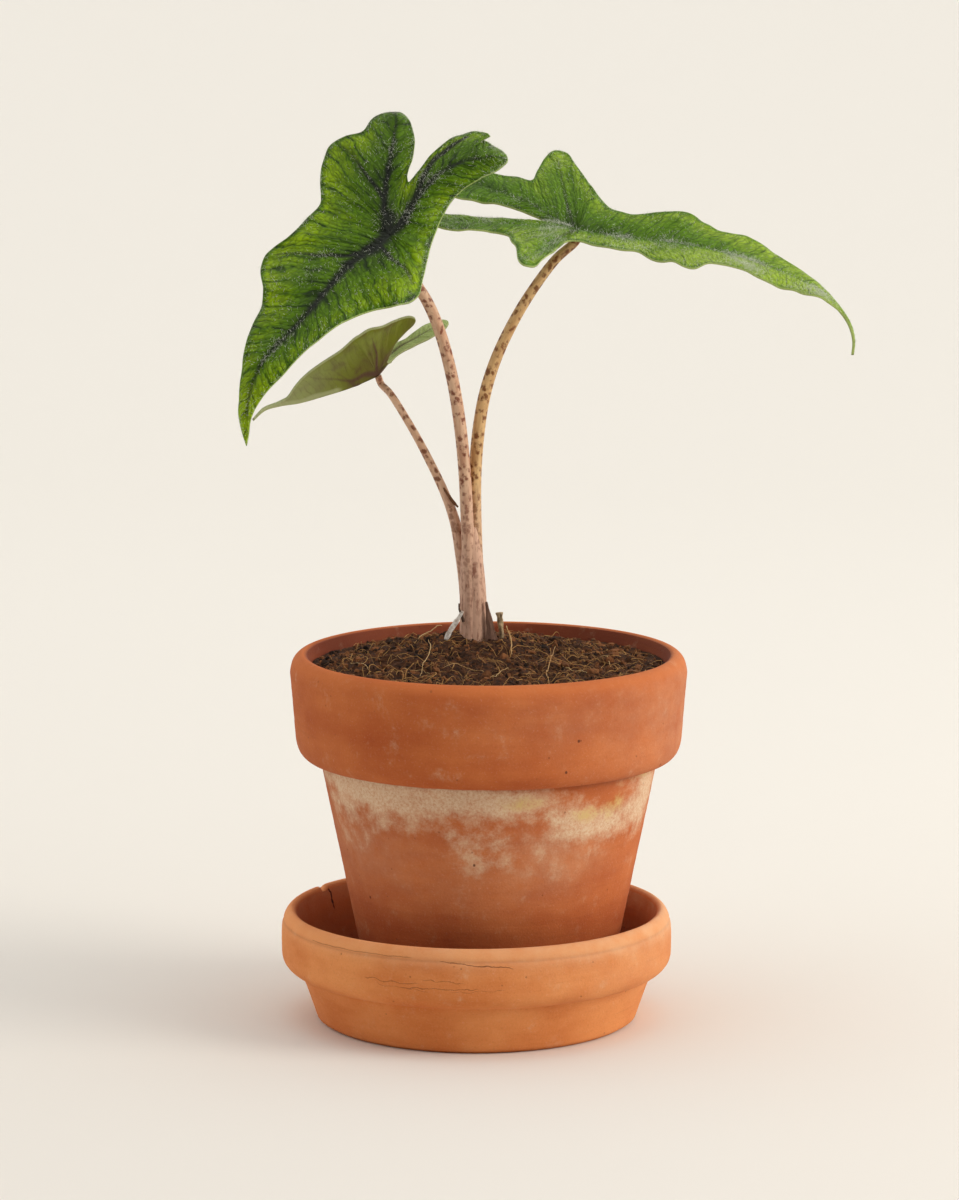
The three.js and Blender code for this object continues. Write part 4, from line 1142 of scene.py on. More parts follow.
class BladeSurface:
    """Turns a blade's flat drawing into a folded, quilted surface in space."""

    thickness: float = 0.7
    keel: float = 1.3
    keel_taper: float = 0.8
    keel_width: float = 1.3
    vein: float = 0.4
    quilt: float = 0.5
    quilt_reach: float = 10.0
    quilt_slope: float = 0.12
    droop: float = 1.6
    hub_fan: float = 0.2
    end_fan: float = 0.15
    midrib_veins: int = 6
    lobe_veins: int = 5
    rib_steps: int = 40
    rib_reach: float = 14.0

    def __init__(self, shape: BladeShape) -> None:
        """Draws the midrib's curve of a shape and measures its run."""
        self.shape = shape
        self.curve = smooth_path(shape.midrib, self.rib_steps)
        self.run = run_along(self.curve)
        self.hub_run = self.run[shape.hub * self.rib_steps]
        self.margin = [(*row, 0.0)[:4] for row in shape.margin]
        self.length = self.margin[0][1]

    def rib_point(self, s: Array) -> Array:
        """Points of the midrib s millimetres from the hub, carried straight on past its ends."""
        at = s + self.hub_run
        after = np.clip(np.searchsorted(self.run, at, side="right"), 1, len(self.run) - 1)
        share = (at - self.run[after - 1]) / (self.run[after] - self.run[after - 1])
        return self.curve[after - 1] + (self.curve[after] - self.curve[after - 1]) * share[..., None]

    def place(self, flat: Array, lift: Array | float) -> Array:
        """Folds points of the flat drawing into space.

        The point is the midrib at s, plus t across it turned up by the fold's angle on that
        side, plus the lift. Across and up are square to the midrib's chord over a short reach.

        Args:
            flat: s and t, in the last axis.
            lift: height above the folded blade.

        Returns:
            The places in space, in millimetres.
        """
        s, t = flat[..., 0], flat[..., 1]
        along = unit(self.rib_point(s + self.rib_reach) - self.rib_point(s - self.rib_reach))
        side = np.asarray(self.shape.side)
        across = unit(side - along * (along @ side)[..., None])
        up = np.cross(along, across)
        near, far = (np.interp(s, *np.transpose(rows)) for rows in self.shape.folds)
        fold = np.radians(np.where(t > 0, far, near))
        sideways = across * (t * np.cos(fold))[..., None]
        return self.rib_point(s) + sideways + up * (np.abs(t) * np.sin(fold) + lift)[..., None]

    def hub_place(self) -> tuple[Array, Array]:
        """The hub, and the step of 1 mm out of the blade's upper face there."""
        hub, above = (self.place(np.zeros((1, 2)), lift)[0] for lift in (0.0, 1.0))
        return hub, above - hub

    def lobe_point(self, lobe: int, share: Array) -> Array:
        """Points at a share of the length of one rear lobe's rib."""
        route = np.asarray(self.shape.lobes[lobe])
        run = run_along(route)
        return smooth_between(np.column_stack([run, route]), share * run[-1])

    def sheet(self, columns: tuple[int, int], rows: int) -> Sheet:
        """Works out the upper face: one column down each vein, from its foot to the margin.

        Down a vein, r goes from 0 to 1: the point is foot + (end - foot) r, its height is the
        margin's own times r^1.6 plus the quilting, which is a sine squared from vein to vein
        and a sine from foot to end, and lower where the veins run close. The depth is the
        blade's thickness plus a keel under the rib, which falls off as a bell curve, plus the
        vein.

        Args:
            columns: columns on each leg of the walk along the midrib and along a lobe.
            rows: points down each column.

        Returns:
            The sheet, in millimetres.
        """
        counts = [columns[0], *[columns[1]] * 4, columns[0]]
        walk = np.concatenate([leg + np.arange(count) / count for leg, count in enumerate(counts)])
        walk = np.append(walk, 6.0)
        leg = np.minimum(np.floor(walk), 5).astype(int)
        from_hub = np.where(leg % 2 == 0, leg + 1 - walk, walk - leg)
        on_midrib = (leg == 0) | (leg == 5)
        ribbed = 1 - self.hub_fan - np.where(on_midrib, 0, self.end_fan)
        share = np.clip((from_hub - self.hub_fan) / ribbed, 0, 1)
        on_rib = np.column_stack([share * self.length, np.zeros_like(share)])
        on_lobe = np.where((leg < 3)[:, None], self.lobe_point(0, share), self.lobe_point(1, share))
        foot = np.where(on_midrib[:, None], on_rib, on_lobe)
        end_s, end_t, lift = smooth_between(self.margin, walk).T
        end = np.column_stack([end_s, end_t])
        veins = np.where(on_midrib, self.midrib_veins, self.lobe_veins)
        puff = np.sin(np.pi * from_hub * veins) ** 2

        r = np.linspace(0, 1, rows)[None, :]
        reach = np.linalg.norm(end - foot, axis=1)[:, None]
        flat = foot[:, None] + (end - foot)[:, None] * r[..., None]
        swell = np.sin(np.pi * r) * np.minimum(reach / self.quilt_reach, 1)
        cushion = np.linalg.norm(np.gradient(flat, walk, axis=0), axis=2) / veins[:, None]
        quilt = np.minimum(self.quilt, self.quilt_slope * cushion)
        height = lift[:, None] * r**self.droop + quilt * puff[:, None] * swell
        taper = 1 - self.keel_taper * foot[:, :1] / self.length
        keel = self.keel * bell(reach * r, self.keel_width) * taper
        depth = self.thickness + keel + self.vein * (1 - puff[:, None]) * swell
        along = ((run_along(foot) + run_along(end)) / 2)[:, None] + 0 * r
        return Sheet(flat, self.place(flat, height), depth, along, reach * r, reach * (1 - r))


# ---- The three blades ----


FRONT_LOBES = (
    ((0, 0), (-7.3, -4.6), (-13.5, -6.2), (-24.7, -7), (-35.7, -8.1), (-41.5, -9.3)),
    ((0, 0), (-4.3, 2.4), (-15, 4.8), (-25.4, 10.6), (-32.1, 18), (-36.1, 27)),
)
LEAF_FRONT = BladeShape(
    midrib=(
        (-15.5, 14, 326), (-22.3, 2, 306), (-30.5, -12, 280.2), (-45.8, -22, 268), (-60.2, -34, 252.4),
        (-72.6, -42, 238.8), (-77.5, -46, 225.6), (-78.4, -47, 210.7),
    ),
    hub=2,
    side=(0.883, -0.322, -0.341),
    folds=(
        ((0, 0), (1, 0)),
        ((0, 0), (1, 0)),
    ),
    lobes=FRONT_LOBES,
    margin=(
        (0, 96.3, 0), (0.09, 89.5, -2.7, -1), (0.18, 79.6, -4.3, -1), (0.28, 68.6, -7.1, -1),
        (0.38, 56.7, -12.8, -2.5), (0.48, 47.9, -16, -2.5), (0.53, 44, -18.3, -1),
        (0.62, 35.2, -25.9, -3.5), (0.68, 28, -27.4, -3.5), (0.73, 22.2, -24.9, -1.5),
        (0.79, 11.4, -26.5, -1.5), (0.9, -1.8, -28, -1.5), (1.22, -23, -31.3, -4),
        (1.37, -30.7, -30.4, -4), (1.47, -34.1, -25.8, -2.5), (1.6, -37.1, -20.5, -2.5),
        (1.77, -44.3, -18.2, -4), (1.93, -47.6, -12.9, -4), (2.1, -46.9, -7.6, -4),
        (2.28, -39.5, -2.1, -1.5), (2.48, -31.4, -0.1, -1.5), (2.75, -23.2, 0.1, -0.5),
        (3, -20.6, 1.1, -0.5), (3.2, -22.8, 2.5, -0.5), (3.4, -28.6, 4.8, -0.5), (3.53, -36.9, 8.2, -1.5),
        (3.62, -45, 12.7, -5), (3.67, -47.6, 17.8, -5), (3.71, -46.8, 22.8, -5), (3.745, -45.6, 19.4, -5),
        (3.84, -43.4, 24.2, -5), (3.94, -41.7, 29.8, -5), (4.06, -38.6, 32, -5), (4.18, -34.6, 30.2, -5),
        (4.37, -28.3, 24.7, -4), (4.57, -20, 17.8, -4), (4.72, -11.5, 14.1, -5), (4.86, -2.5, 14.6, -5),
        (5, 3.9, 17.8, -6), (5.12, 10.5, 22.4, -6), (5.25, 18.3, 22.3, -3), (5.36, 27.6, 16.5, -3),
        (5.43, 37.6, 12.6, -1), (5.55, 51.4, 9.2, -1), (5.68, 66.2, 8.5, -0.5), (5.81, 78.9, 4.2, -0.5),
        (5.88, 86.6, 1.4, -0.5), (5.95, 92, 0.6, -0.5), (6, 96.3, 0),
    ),
    ribs=each(
        Rib,
        (
            ((-1, 0), (10, -1.2), (22, 0), (41, 0.4), (55, 0.3), (68, -0.4), (78, -0.3), (86, 0)),
            (2.3, 0.7), (1, 0.5),
        ),
        (((10, -1), (16, -3), (22, -10.9), (26.5, -20), (29.5, -25)), (1.3, 0.5), (0.95, 0.55)),
        ((*FRONT_LOBES[0][:-1], (-43, -9.3)), (2.2, 0.6), (1, 0.5)),
        (((-13, -6), (-21.6, -15.2), (-28.1, -21.8), (-30.6, -26.5)), (1.3, 0.5), (0.9, 0.5)),
        (FRONT_LOBES[1], (2.2, 0.6), (1, 0.5)),
        (((-14, 4.6), (-24, 6), (-30, 7.6), (-37, 11), (-44, 15.5)), (1.5, 0.9), (0.9, 0.9)),
        (((5.5, 0), (7.3, 7.3), (6.8, 12.7), (8.6, 18)), (1.3, 0.5), (0.95, 0.5)),
        (((-6, -2.5), (3, 0), (10, 0.5)), (3.4, 2.2), (1, 0.75)),
    ),
)

RIGHT_LOBES = (
    ((0, 0), (-9.8, -4), (-20.9, -9), (-32.7, -12), (-45.1, -13)),
    ((0, 0), (-9.9, 2), (-17.8, 6), (-28.3, 10), (-38.3, 14), (-45.9, 15)),
)
LEAF_RIGHT = BladeShape(
    midrib=(
        (-7.6, 30, 285.4), (15.4, 26, 283.2), (35.8, 20, 278.8), (52.2, 17, 276.3), (71.4, 14, 274.4),
        (89.2, 11, 270.8), (108, 8, 264.4), (122.9, 5, 256.3), (130.2, 3, 248.1), (132.3, 2, 241.5),
        (132, 2, 236.3),
    ),
    hub=2,
    side=(0.179, 0.98, 0.091),
    folds=(
        ((-60, -8), (0, -12), (60, -8), (110, 0)),
        ((-60, 25), (0, 35), (40, 30), (110, 5)),
    ),
    lobes=RIGHT_LOBES,
    margin=(
        (0, 115.7, 0), (0.07, 105.9, -0.7), (0.13, 100, -1.3), (0.19, 92.1, -4.8),
        (0.25, 84.1, -7.8, -1.2), (0.32, 75, -10, -2), (0.39, 66.1, -12, -0.3), (0.45, 58.1, -13, 0.8),
        (0.5, 49.9, -14, 0.2), (0.56, 43.9, -17, -1.4), (0.61, 36.9, -17, -0.4), (0.65, 30.2, -15, -1.6),
        (0.69, 23.1, -12.5), (0.72, 15, -13, 0.4), (0.75, 8.2, -11), (0.79, 2.1, -10), (0.83, -1.1, -12),
        (0.87, -2.2, -19), (0.91, -3.2, -27), (0.96, -4.8, -35.5, -1), (1, -7.4, -38.3, -1),
        (1.05, -10.7, -35.9, -1), (1.1, -13.5, -29.9), (1.2, -17.8, -24), (1.4, -21.8, -18.5),
        (1.53, -27.5, -18.5), (1.67, -35.6, -20), (1.79, -43, -21), (1.92, -50.1, -19),
        (2.02, -52.1, -14), (2.14, -49.1, -8), (2.25, -43, -5.5), (2.38, -35.4, -6.4),
        (2.51, -26.9, -5.3), (2.67, -19.8, -3.2), (2.85, -14, -1), (3, -12, 0), (3.33, -18, 1.6),
        (3.43, -23.5, 3), (3.54, -30.3, 4.6), (3.67, -37.6, 5.3), (3.82, -45.9, 6.5), (3.9, -50.9, 9),
        (4, -52.9, 15), (4.12, -48.8, 21), (4.22, -42.1, 22.5), (4.35, -33.5, 21), (4.48, -27.5, 20),
        (4.57, -22.7, 18.8), (4.67, -22.2, 25), (4.73, -21.6, 32), (4.8, -19.7, 36.7), (4.85, -16, 36.3),
        (4.92, -10.4, 30.3), (5, -3.9, 23.9), (5.12, 2.7, 18), (5.2, 8.7, 13.5), (5.26, 16, 12),
        (5.32, 25.7, 13, 1.2), (5.39, 37.1, 15, 1.2), (5.43, 42.1, 14.5, -0.8), (5.46, 46, 12.5, -0.8),
        (5.55, 58, 12, 0.8), (5.6, 64.9, 11), (5.66, 72, 8.5), (5.75, 83.9, 5.7), (5.85, 96, 2),
        (5.93, 106.1, 0.7), (6, 115.7, 0),
    ),
    ribs=each(
        Rib,
        (((-1, 0), (25, 0), (55, 0), (85, 0), (112, 0)), (0.9, 0.3), (0.18, 0.04)),
        ((*RIGHT_LOBES[0][:-1], (-46, -13)), (0.9, 0.4), (0.2, 0.12)),
        ((*RIGHT_LOBES[1][:-1], (-48, 15)), (0.9, 0.4), (0.45, 0.25)),
        (((-2, 1), (-8, 11), (-13, 21), (-18, 33)), (0.9, 0.4), (0.75, 0.4)),
        (((-1, -1), (-4, -12), (-5, -22), (-6.5, -34)), (0.9, 0.4), (0.6, 0.3)),
        (((10, 0), (14, 5), (17, 10)), (0.8, 0.4), (0.45, 0.2)),
        (((14, 0), (19, -6), (22, -11)), (0.8, 0.4), (0.45, 0.2)),
        (((28, 0), (35, 7), (40, 13)), (0.7, 0.4), (0.4, 0.2)),
        (((32, 0), (39, -8), (43, -15)), (0.7, 0.4), (0.4, 0.2)),
        (((48, 0), (54, 6), (57, 11)), (0.7, 0.3), (0.35, 0.2)),
        (((52, 0), (60, -7), (64, -12)), (0.7, 0.3), (0.35, 0.2)),
        (((-4, 1.6), (2, 1.6)), (1.6, 1.2), (0.5, 0.3)),
    ),
)

SMALL_LOBES = (
    ((0, 0), (-9.6, -2.9), (-18.2, -3.8), (-27.1, -5.5), (-34, -6.6)),
    ((0, 0), (-4, 5), (-9.8, 10.2), (-15.1, 13.5)),
)
LEAF_SMALL = BladeShape(
    midrib=(
        (-13.1, 52, 236.8), (-25.6, 44, 232.6), (-35.8, 36, 226.7), (-45.1, 33, 222.6),
        (-53.9, 30, 219.9), (-63.1, 28, 217.3), (-70.2, 27, 216.1), (-75.5, 26, 214.5),
        (-79.7, 26, 210.7),
    ),
    hub=2,
    side=(0.341, -0.936, -0.085),
    folds=(
        ((-40, 25), (0, 30), (50, 20)),
        ((-40, 50), (0, 68), (30, 72), (50, 40)),
    ),
    lobes=SMALL_LOBES,
    margin=(
        (0, 48.7, 0), (0.08, 44.1, -0.6), (0.19, 38, -1.2), (0.3, 31.7, -4), (0.42, 26.2, -8.4),
        (0.54, 19.2, -12.3), (0.65, 11.4, -15), (0.75, 2.1, -16.3), (0.84, -0.4, -14.9),
        (0.93, -5.9, -11.9), (1.1, -12.6, -8), (1.4, -18.7, -5.9), (1.6, -25, -8), (1.73, -29.8, -9.4),
        (1.85, -34, -9.2), (1.95, -37, -8.5), (2.03, -38, -6.7), (2.15, -35, -4.2), (2.3, -30, -2.9),
        (2.45, -25.3, -1.9), (2.6, -18.1, -1.3), (2.8, -9.9, -0.8), (3, -5.9, 0.7), (3.35, -7.7, 4.2),
        (3.5, -10.4, 7.4), (3.7, -14.3, 10), (3.85, -17.2, 11.9), (4, -18, 14.2), (4.15, -16, 16.2),
        (4.3, -13.1, 17), (4.5, -9.6, 17.3), (4.7, -5.6, 17.7), (4.9, -0.8, 19.1), (5.1, 3.6, 18.7),
        (5.25, 7.4, 17.7), (5.33, 11.8, 15.4), (5.42, 17.6, 13.4), (5.5, 23.6, 11.3), (5.58, 27.9, 8.8),
        (5.66, 30.9, 5.9), (5.74, 34.1, 2.4), (5.8, 37.3, 1), (5.9, 42.6, 0.6), (6, 48.7, 0),
    ),
    ribs=each(
        Rib,
        (((0, 0.6), (5, 2), (9.7, 1.9), (13.4, 3.2), (19.5, 6.5), (27, 9.8)), (1, 0.4), (0.9, 0.25)),
        ((*SMALL_LOBES[0][:-1], (-36, -7.5)), (0.9, 0.3), (0.8, 0.4)),
        (SMALL_LOBES[1], (0.9, 0.3), (0.7, 0.3)),
        (((0, 0), (-1.4, 7.9), (-0.6, 15.6)), (0.9, 0.3), (0.9, 0.5)),
        (((9, 0), (14, 6), (18, 11)), (0.8, 0.3), (0.6, 0.2)),
        (((8, 0), (13, -6), (19.3, -10.1)), (0.9, 0.3), (0.9, 0.5)),
        (((0, 0), (1, -7), (3, -14)), (0.7, 0.3), (0.5, 0.3)),
    ),
)


# ---- Soil ----


@dataclass
class Soil:
    """Peat and coir that fill the pot: a crumbly surface closed round the stem, crumbs and fibres."""

    pot: Pot
    edge_z: float = 126.5
    mound_height: float = 7.5
    mound_spread: float = 34.0
    lump: float = 1.1
    gap: float = 0.3
    stem: tuple[float, float] = (-1.1, 13.0)
    clod_height: float = 1.5
    rings: int = 90
    sides: int = 340
    crumbs: int = 2400
    fibres: int = 820
    fibre_points: int = 8
    straw_points: int = 16
    straws: tuple[tuple[Point, Point, float], ...] = (
        ((-21.0, 12.0, 1.2), (-12.0, 24.0, 5.0), 0.18),
        ((-16.5, 9.0, 2.5), (-20.0, -31.0, 0.6), 0.13),
        ((10.9, 11.0, 5.0), (13.2, -10.0, 0.8), 0.22),
        ((28.5, 4.0, 3.0), (25.5, -46.0, 0.6), 0.14),
        ((-12.0, -24.0, 0.8), (3.0, -27.0, 1.0), 0.12),
        ((3.0, -35.0, 0.6), (11.0, -24.0, 1.6), 0.12),
        ((30.0, -16.0, 0.8), (39.0, -24.0, 1.4), 0.12),
        ((-44.0, -6.0, 0.6), (-38.0, -20.0, 1.4), 0.11),
        ((44.0, 2.0, 1.2), (50.0, -14.0, 0.6), 0.11),
        ((-26.0, -18.0, 0.6), (-16.0, -26.0, 1.4), 0.11),
    )

    def surface(self, x: Array, y: Array) -> Array:
        """Height of the soil at a place.

        A bell-shaped heap round the stem and the sines of its clods, flat at the pot's wall,
        and ridged noise of three sizes for the crumbs.
        """
        reach = self.pot.inside(self.edge_z) - self.gap
        out = np.minimum(np.hypot(x - self.pot.centre_x, y) / reach, 1)
        from_stem = np.hypot(x - self.stem[0], y - self.stem[1])
        heap = self.mound_height * bell(from_stem, self.mound_spread)
        clods = np.sin(x * 0.31 + 1.3 * np.sin(y * 0.23)) * np.cos(y * 0.37 + np.sin(x * 0.19))
        smooth = self.edge_z + (heap + self.lump * clods) * (1 - out**6)
        crumbs = sum(
            share * (1 - 2 * np.abs(value_noise(x, y, size, seed)))
            for size, share, seed in ((5.5, 0.5, 31), (2.4, 0.33, 32), (1.1, 0.17, 33))
        )
        return smooth + self.clod_height * (crumbs - 0.25) * (1 - 0.6 * out**8)

    def body(self) -> Form:
        """The soil as a solid: a fine round grid on top, down the pot's wall and closed below."""
        pot = self.pot
        floor = pot.floor + self.gap
        reach = pot.inside(self.edge_z) - self.gap
        corner = pot.inside(floor) - self.gap - 0.1
        wall = [(1.0, floor), (corner, floor), (pot.neck_radius - self.gap, pot.collar)]
        radii = reach * np.linspace(1, 0.006, self.rings)
        profile = np.vstack([refined(wall, 6.0), np.column_stack([radii, np.full(self.rings, self.edge_z)])])
        form = turned(profile, self.sides, pot.centre_x, closed=False)
        top = form.points[:, 2] > self.edge_z - 1e-6
        x, y, _ = form.points[top].T
        form.points[top, 2] = self.surface(x, y)
        form.values = {"strand": np.zeros(len(form.points))}
        return form

    def scattered(self, count: int, rng: np.random.Generator, rim: float) -> Array:
        """Random places on the surface, (count, 3), that keep off the wall and out of the stem."""
        reach = self.pot.inside(self.edge_z) - rim
        out = np.sqrt(rng.uniform(0, 1, 2 * count)) * reach
        angle = rng.uniform(0, 2 * np.pi, 2 * count)
        x, y = out * np.cos(angle) + self.pot.centre_x, out * np.sin(angle)
        free = np.hypot(x - self.stem[0], y - self.stem[1]) > 7
        x, y = x[free][:count], y[free][:count]
        return np.column_stack([x, y, self.surface(x, y)])

    def crumb_form(self) -> Form:
        """Loose crumbs: eight-cornered lumps, each stretched, dented and turned at random."""
        rng = np.random.default_rng(41)
        middle = self.scattered(self.crumbs, rng, 2.5)
        count = len(middle)
        ring = np.linspace(0, 2 * np.pi, 6, endpoint=False)
        one = np.vstack(
            [
                np.column_stack([0.75 * np.cos(ring), 0.75 * np.sin(ring), np.full(6, 0.45)]),
                np.column_stack([np.cos(ring + 0.5), np.sin(ring + 0.5), np.full(6, -0.35)]),
                [[0, 0, 0.85], [0, 0, -0.8]],
            ]
        )
        size = rng.gamma(2.2, 0.2, count)[:, None, None] + 0.22
        dent = rng.uniform(0.65, 1.35, (count, len(one), 1))
        stretch = rng.uniform(0.6, 1.3, (count, 1, 3))
        spin = rng.uniform(0, 2 * np.pi, (count, 1))
        local = one * dent * stretch * size
        x = local[..., 0] * np.cos(spin) - local[..., 1] * np.sin(spin)
        y = local[..., 0] * np.sin(spin) + local[..., 1] * np.cos(spin)
        points = np.stack([x, y, local[..., 2]], axis=-1) + middle[:, None] + [0, 0, 0.15]
        low, high = np.arange(6, 12), np.arange(6)
        side = np.stack([low, np.roll(low, -1), np.roll(high, -1), high], axis=1)
        faces = [side, fan_faces(high, 12, upwards=True), fan_faces(low, 13, upwards=False)]
        return copies(points, faces, rng.uniform(0, 1, count))

    def fibre_form(self) -> Form:
        """Coir fibres: a start on the surface, a heading and a bend, each point laid on the soil."""
        rng = np.random.default_rng(43)
        start = self.scattered(self.fibres, rng, 7.0)
        per_fibre, steps = (len(start), 1), self.fibre_points
        heading = rng.uniform(0, 2 * np.pi, per_fibre)
        heading = heading + rng.normal(0, 1.1, per_fibre) * np.linspace(0, 1, steps)
        step = (rng.gamma(4.0, 1.5, per_fibre) + 2.0) / steps
        x = start[:, :1] + np.cumsum(np.cos(heading) * step, axis=1)
        y = start[:, 1:2] + np.cumsum(np.sin(heading) * step, axis=1)
        away = np.hypot(x - self.pot.centre_x, y)
        inside = np.minimum(1, (self.pot.inside(self.edge_z) - 2.0) / away)
        x = self.pot.centre_x + (x - self.pot.centre_x) * inside
        y = y * inside
        arch = np.sin(np.pi * np.linspace(0.05, 1, steps)) * np.minimum(rng.gamma(1.5, 0.6, per_fibre), 1.8)
        paths = np.stack([x, y, self.surface(x, y) + arch + 0.1], axis=-1)
        thin = rng.uniform(0.06, 0.13, per_fibre) * np.linspace(1, 0.5, steps)
        return strands(paths, thin, 4)

    def straw_form(self) -> Form:
        """The few long pale straws that catch the eye, each bowed between its two ends."""
        share = np.linspace(0, 1, self.straw_points)
        rng = np.random.default_rng(47)
        starts, ends, thick = (np.array(part) for part in zip(*self.straws))
        step = ends - starts
        flat = starts[:, None, :2] + step[:, None, :2] * share[None, :, None]
        across = unit(np.column_stack([-step[:, 1], step[:, 0]]))
        bow = rng.uniform(-2.5, 2.5, (len(starts), 1)) * np.sin(np.pi * share)
        bow = bow + 0.5 * np.sin(share * 9 + rng.uniform(0, 6, (len(starts), 1)))
        flat = flat + across[:, None] * bow[..., None]
        z = self.surface(flat[..., 0], flat[..., 1]) + starts[:, 2:] + step[:, 2:] * share
        radii = thick[:, None] * (0.55 + 0.45 * np.sin(np.pi * share))
        return strands(np.dstack([flat, z]), radii, 6)

    def build(self) -> None:
        """Makes the soil's pieces."""
        dirt = Plain("soil_peat", shade(22, 12, 8), shade(112, 68, 38), 1.7, 0.95, 0.9, 0.15)
        crumb = Plain("soil_crumb", shade(24, 13, 8), shade(142, 90, 52), 1.4, 0.95, 0.5, 1.0)
        coir = Plain("soil_coir", shade(78, 44, 22), shade(206, 156, 92), 3.0, 0.8, 0.1, 1.2)
        straw = Plain("soil_straw", shade(178, 132, 78), shade(228, 196, 142), 3.0, 0.7, 0.1, 0.6)
        self.body().piece("soil_body", "soil", dirt.material(), "soil")
        self.crumb_form().piece("soil_crumbs", "soil", crumb.material(), sharp=40)
        self.fibre_form().piece("soil_fibres", "soil", coir.material())
        self.straw_form().piece("soil_straws", "soil", straw.material())


# ---- Stalks and dry sheaths ----


def age_at(height: Array) -> Array:
    """How old a stalk looks: 1 at the stem's foot, then less by a power curve, and 0 high up."""
    return (1 - np.clip((height - OLD_Z) / (FRESH_Z - OLD_Z), 0, 1)) ** 0.65


@dataclass(frozen=True)
class Route:
    """A stalk's centre line, its radius at each point and at the blade, and its last straight bit."""

    node: str
    path: tuple[Point, ...]
    radii: tuple[float, ...]
    bend: float


@dataclass
class Stalk:
    """A leaf stalk: a round tube along its route, pressed flat where it lies against another."""

    route: Route
    blade: BladeSurface
    finish: StalkSkin
    slot: str
    socket_gap: float = 0.05
    press_gap: float = 0.12
    least: float = 0.2
    sides: int = 40
    steps: int = 14

    def centre_line(self) -> tuple[Array, Array]:
        """The smooth centre line up to the underside of the blade, and the radius along it."""
        hub, up = self.blade.hub_place()
        end = hub - up * (self.blade.thickness + self.blade.keel + self.socket_gap)
        turn = [tuple(end - up * self.route.bend)] if self.route.bend else []
        controls = [*self.route.path, *turn, tuple(end)]
        path = smooth_path(controls, self.steps)
        return path, read_evenly(self.route.radii, len(path))

    def form(self, others: Sequence[Stalk]) -> Form:
        """The stalk's skin.

        A ring's point at angle a is centre + radius (across cos a + out sin a). Where that
        would lie inside a neighbour's ring at the same height, the radius is cut down to where
        the ray meets that ring: d cos b - sqrt(R^2 - d^2 sin^2 b), with the neighbour's centre
        at the distance d and the angle b from the ray. Near the blade, points above the plane
        of its underside are pressed down onto it.
        """
        path, radii = self.centre_line()
        _, across, out = frames_along(path, (0.0, 1.0, 0.0))
        cos, sin = circle(self.sides)
        ray = across[:, None] * cos[:, None] + out[:, None] * sin[:, None]
        run = run_along(path)[:, None]
        radius = radii[:, None] * (1 + 0.02 * value_noise(cos * 3, sin * 3, 2.0, 51, run / 9))
        for other in others:
            radius = self.pressed(radius, path, ray, other)
        points = path[:, None] + radius[..., None] * ray
        _, up = self.blade.hub_place()
        near = run > run[-1] - 4 * radii[-1]
        points -= up * (np.maximum((points - path[-1]) @ up, 0) * near)[..., None]
        form = tube(points, path[[0, -1]])
        local = np.dstack([radii[:, None] * cos, radii[:, None] * sin, run + 0 * radius])
        wrap = tube(local, [[0, 0, run[0, 0]], [0, 0, run[-1, 0]]]).points
        form.values = {"wrap": wrap, "age": age_at(form.points[:, 2])}
        return form

    def pressed(self, radius: Array, path: Array, ray: Array, other: Stalk) -> Array:
        """Cuts radii down where the rays would reach into another stalk; see `form`."""
        theirs, their_radii = other.centre_line()
        order = np.argsort(theirs[:, 2])
        level = path[:, 2]
        rows = (*theirs.T[:2], their_radii)
        x, y, size = (np.interp(level, theirs[order, 2], row[order]) for row in rows)
        aside = np.column_stack([x - path[:, 0], y - path[:, 1], 0 * x])
        gap = np.linalg.norm(aside, axis=1)[:, None]
        cos = np.sum(ray * unit(aside)[:, None], axis=2)
        root = (size[:, None] + self.press_gap) ** 2 - gap**2 * (1 - cos**2)
        meets = (root > 0) & (cos > 0) & (level < theirs[:, 2].max())[:, None]
        limit = gap * cos - np.sqrt(np.maximum(root, 0))
        return np.where(meets & (limit > self.least), np.minimum(radius, limit), radius)

    def build(self, others: Sequence[Stalk]) -> None:
        """Makes the stalk's piece."""
        name = self.route.node
        self.form(others).piece(f"{name}_skin", self.slot, self.finish.material(), name)


@dataclass(frozen=True)
class Husk:
    """What is left of an older stalk: a crumpled, tapering strip, oval across."""

    node: str
    path: tuple[Point, ...]
    widths: tuple[float, ...]
    depths: tuple[float, ...]
    facing: Point
    finish: Plain
    slot: str
    crumple: float = 0.35
    steps: int = 16
    sides: int = 28

    def build(self, seed: int) -> None:
        """Makes the strip's piece.

        A ring's point at angle a is centre + across width cos a + face depth sin a, with the
        width and depth changed by noise along the strip, and the broad face creased by noise.
        """
        path = smooth_path(self.path, self.steps)
        widths, depths = (read_evenly(part, len(path)) for part in (self.widths, self.depths))
        _, face, across = frames_along(path, self.facing)
        run = np.linspace(0, 1, len(path))[:, None] * 20
        cos, sin = circle(self.sides)
        crease = value_noise(cos * 4, run * 0.3, 1.1, seed) * self.crumple
        wide = widths[:, None] * cos * (1 + 0.25 * value_noise(0 * run, run, 2.2, seed + 1))
        deep = depths[:, None] * (sin + crease)
        rings = path[:, None] + across[:, None] * wide[..., None] + face[:, None] * deep[..., None]
        form = tube(rings, path[[0, -1]], inside_out=True)
        form.values["strand"] = np.full(len(form.points), 0.3)
        stands_for = [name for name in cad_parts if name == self.node]
        form.piece(f"{self.node}_strip", self.slot, self.finish.material(), *stands_for)


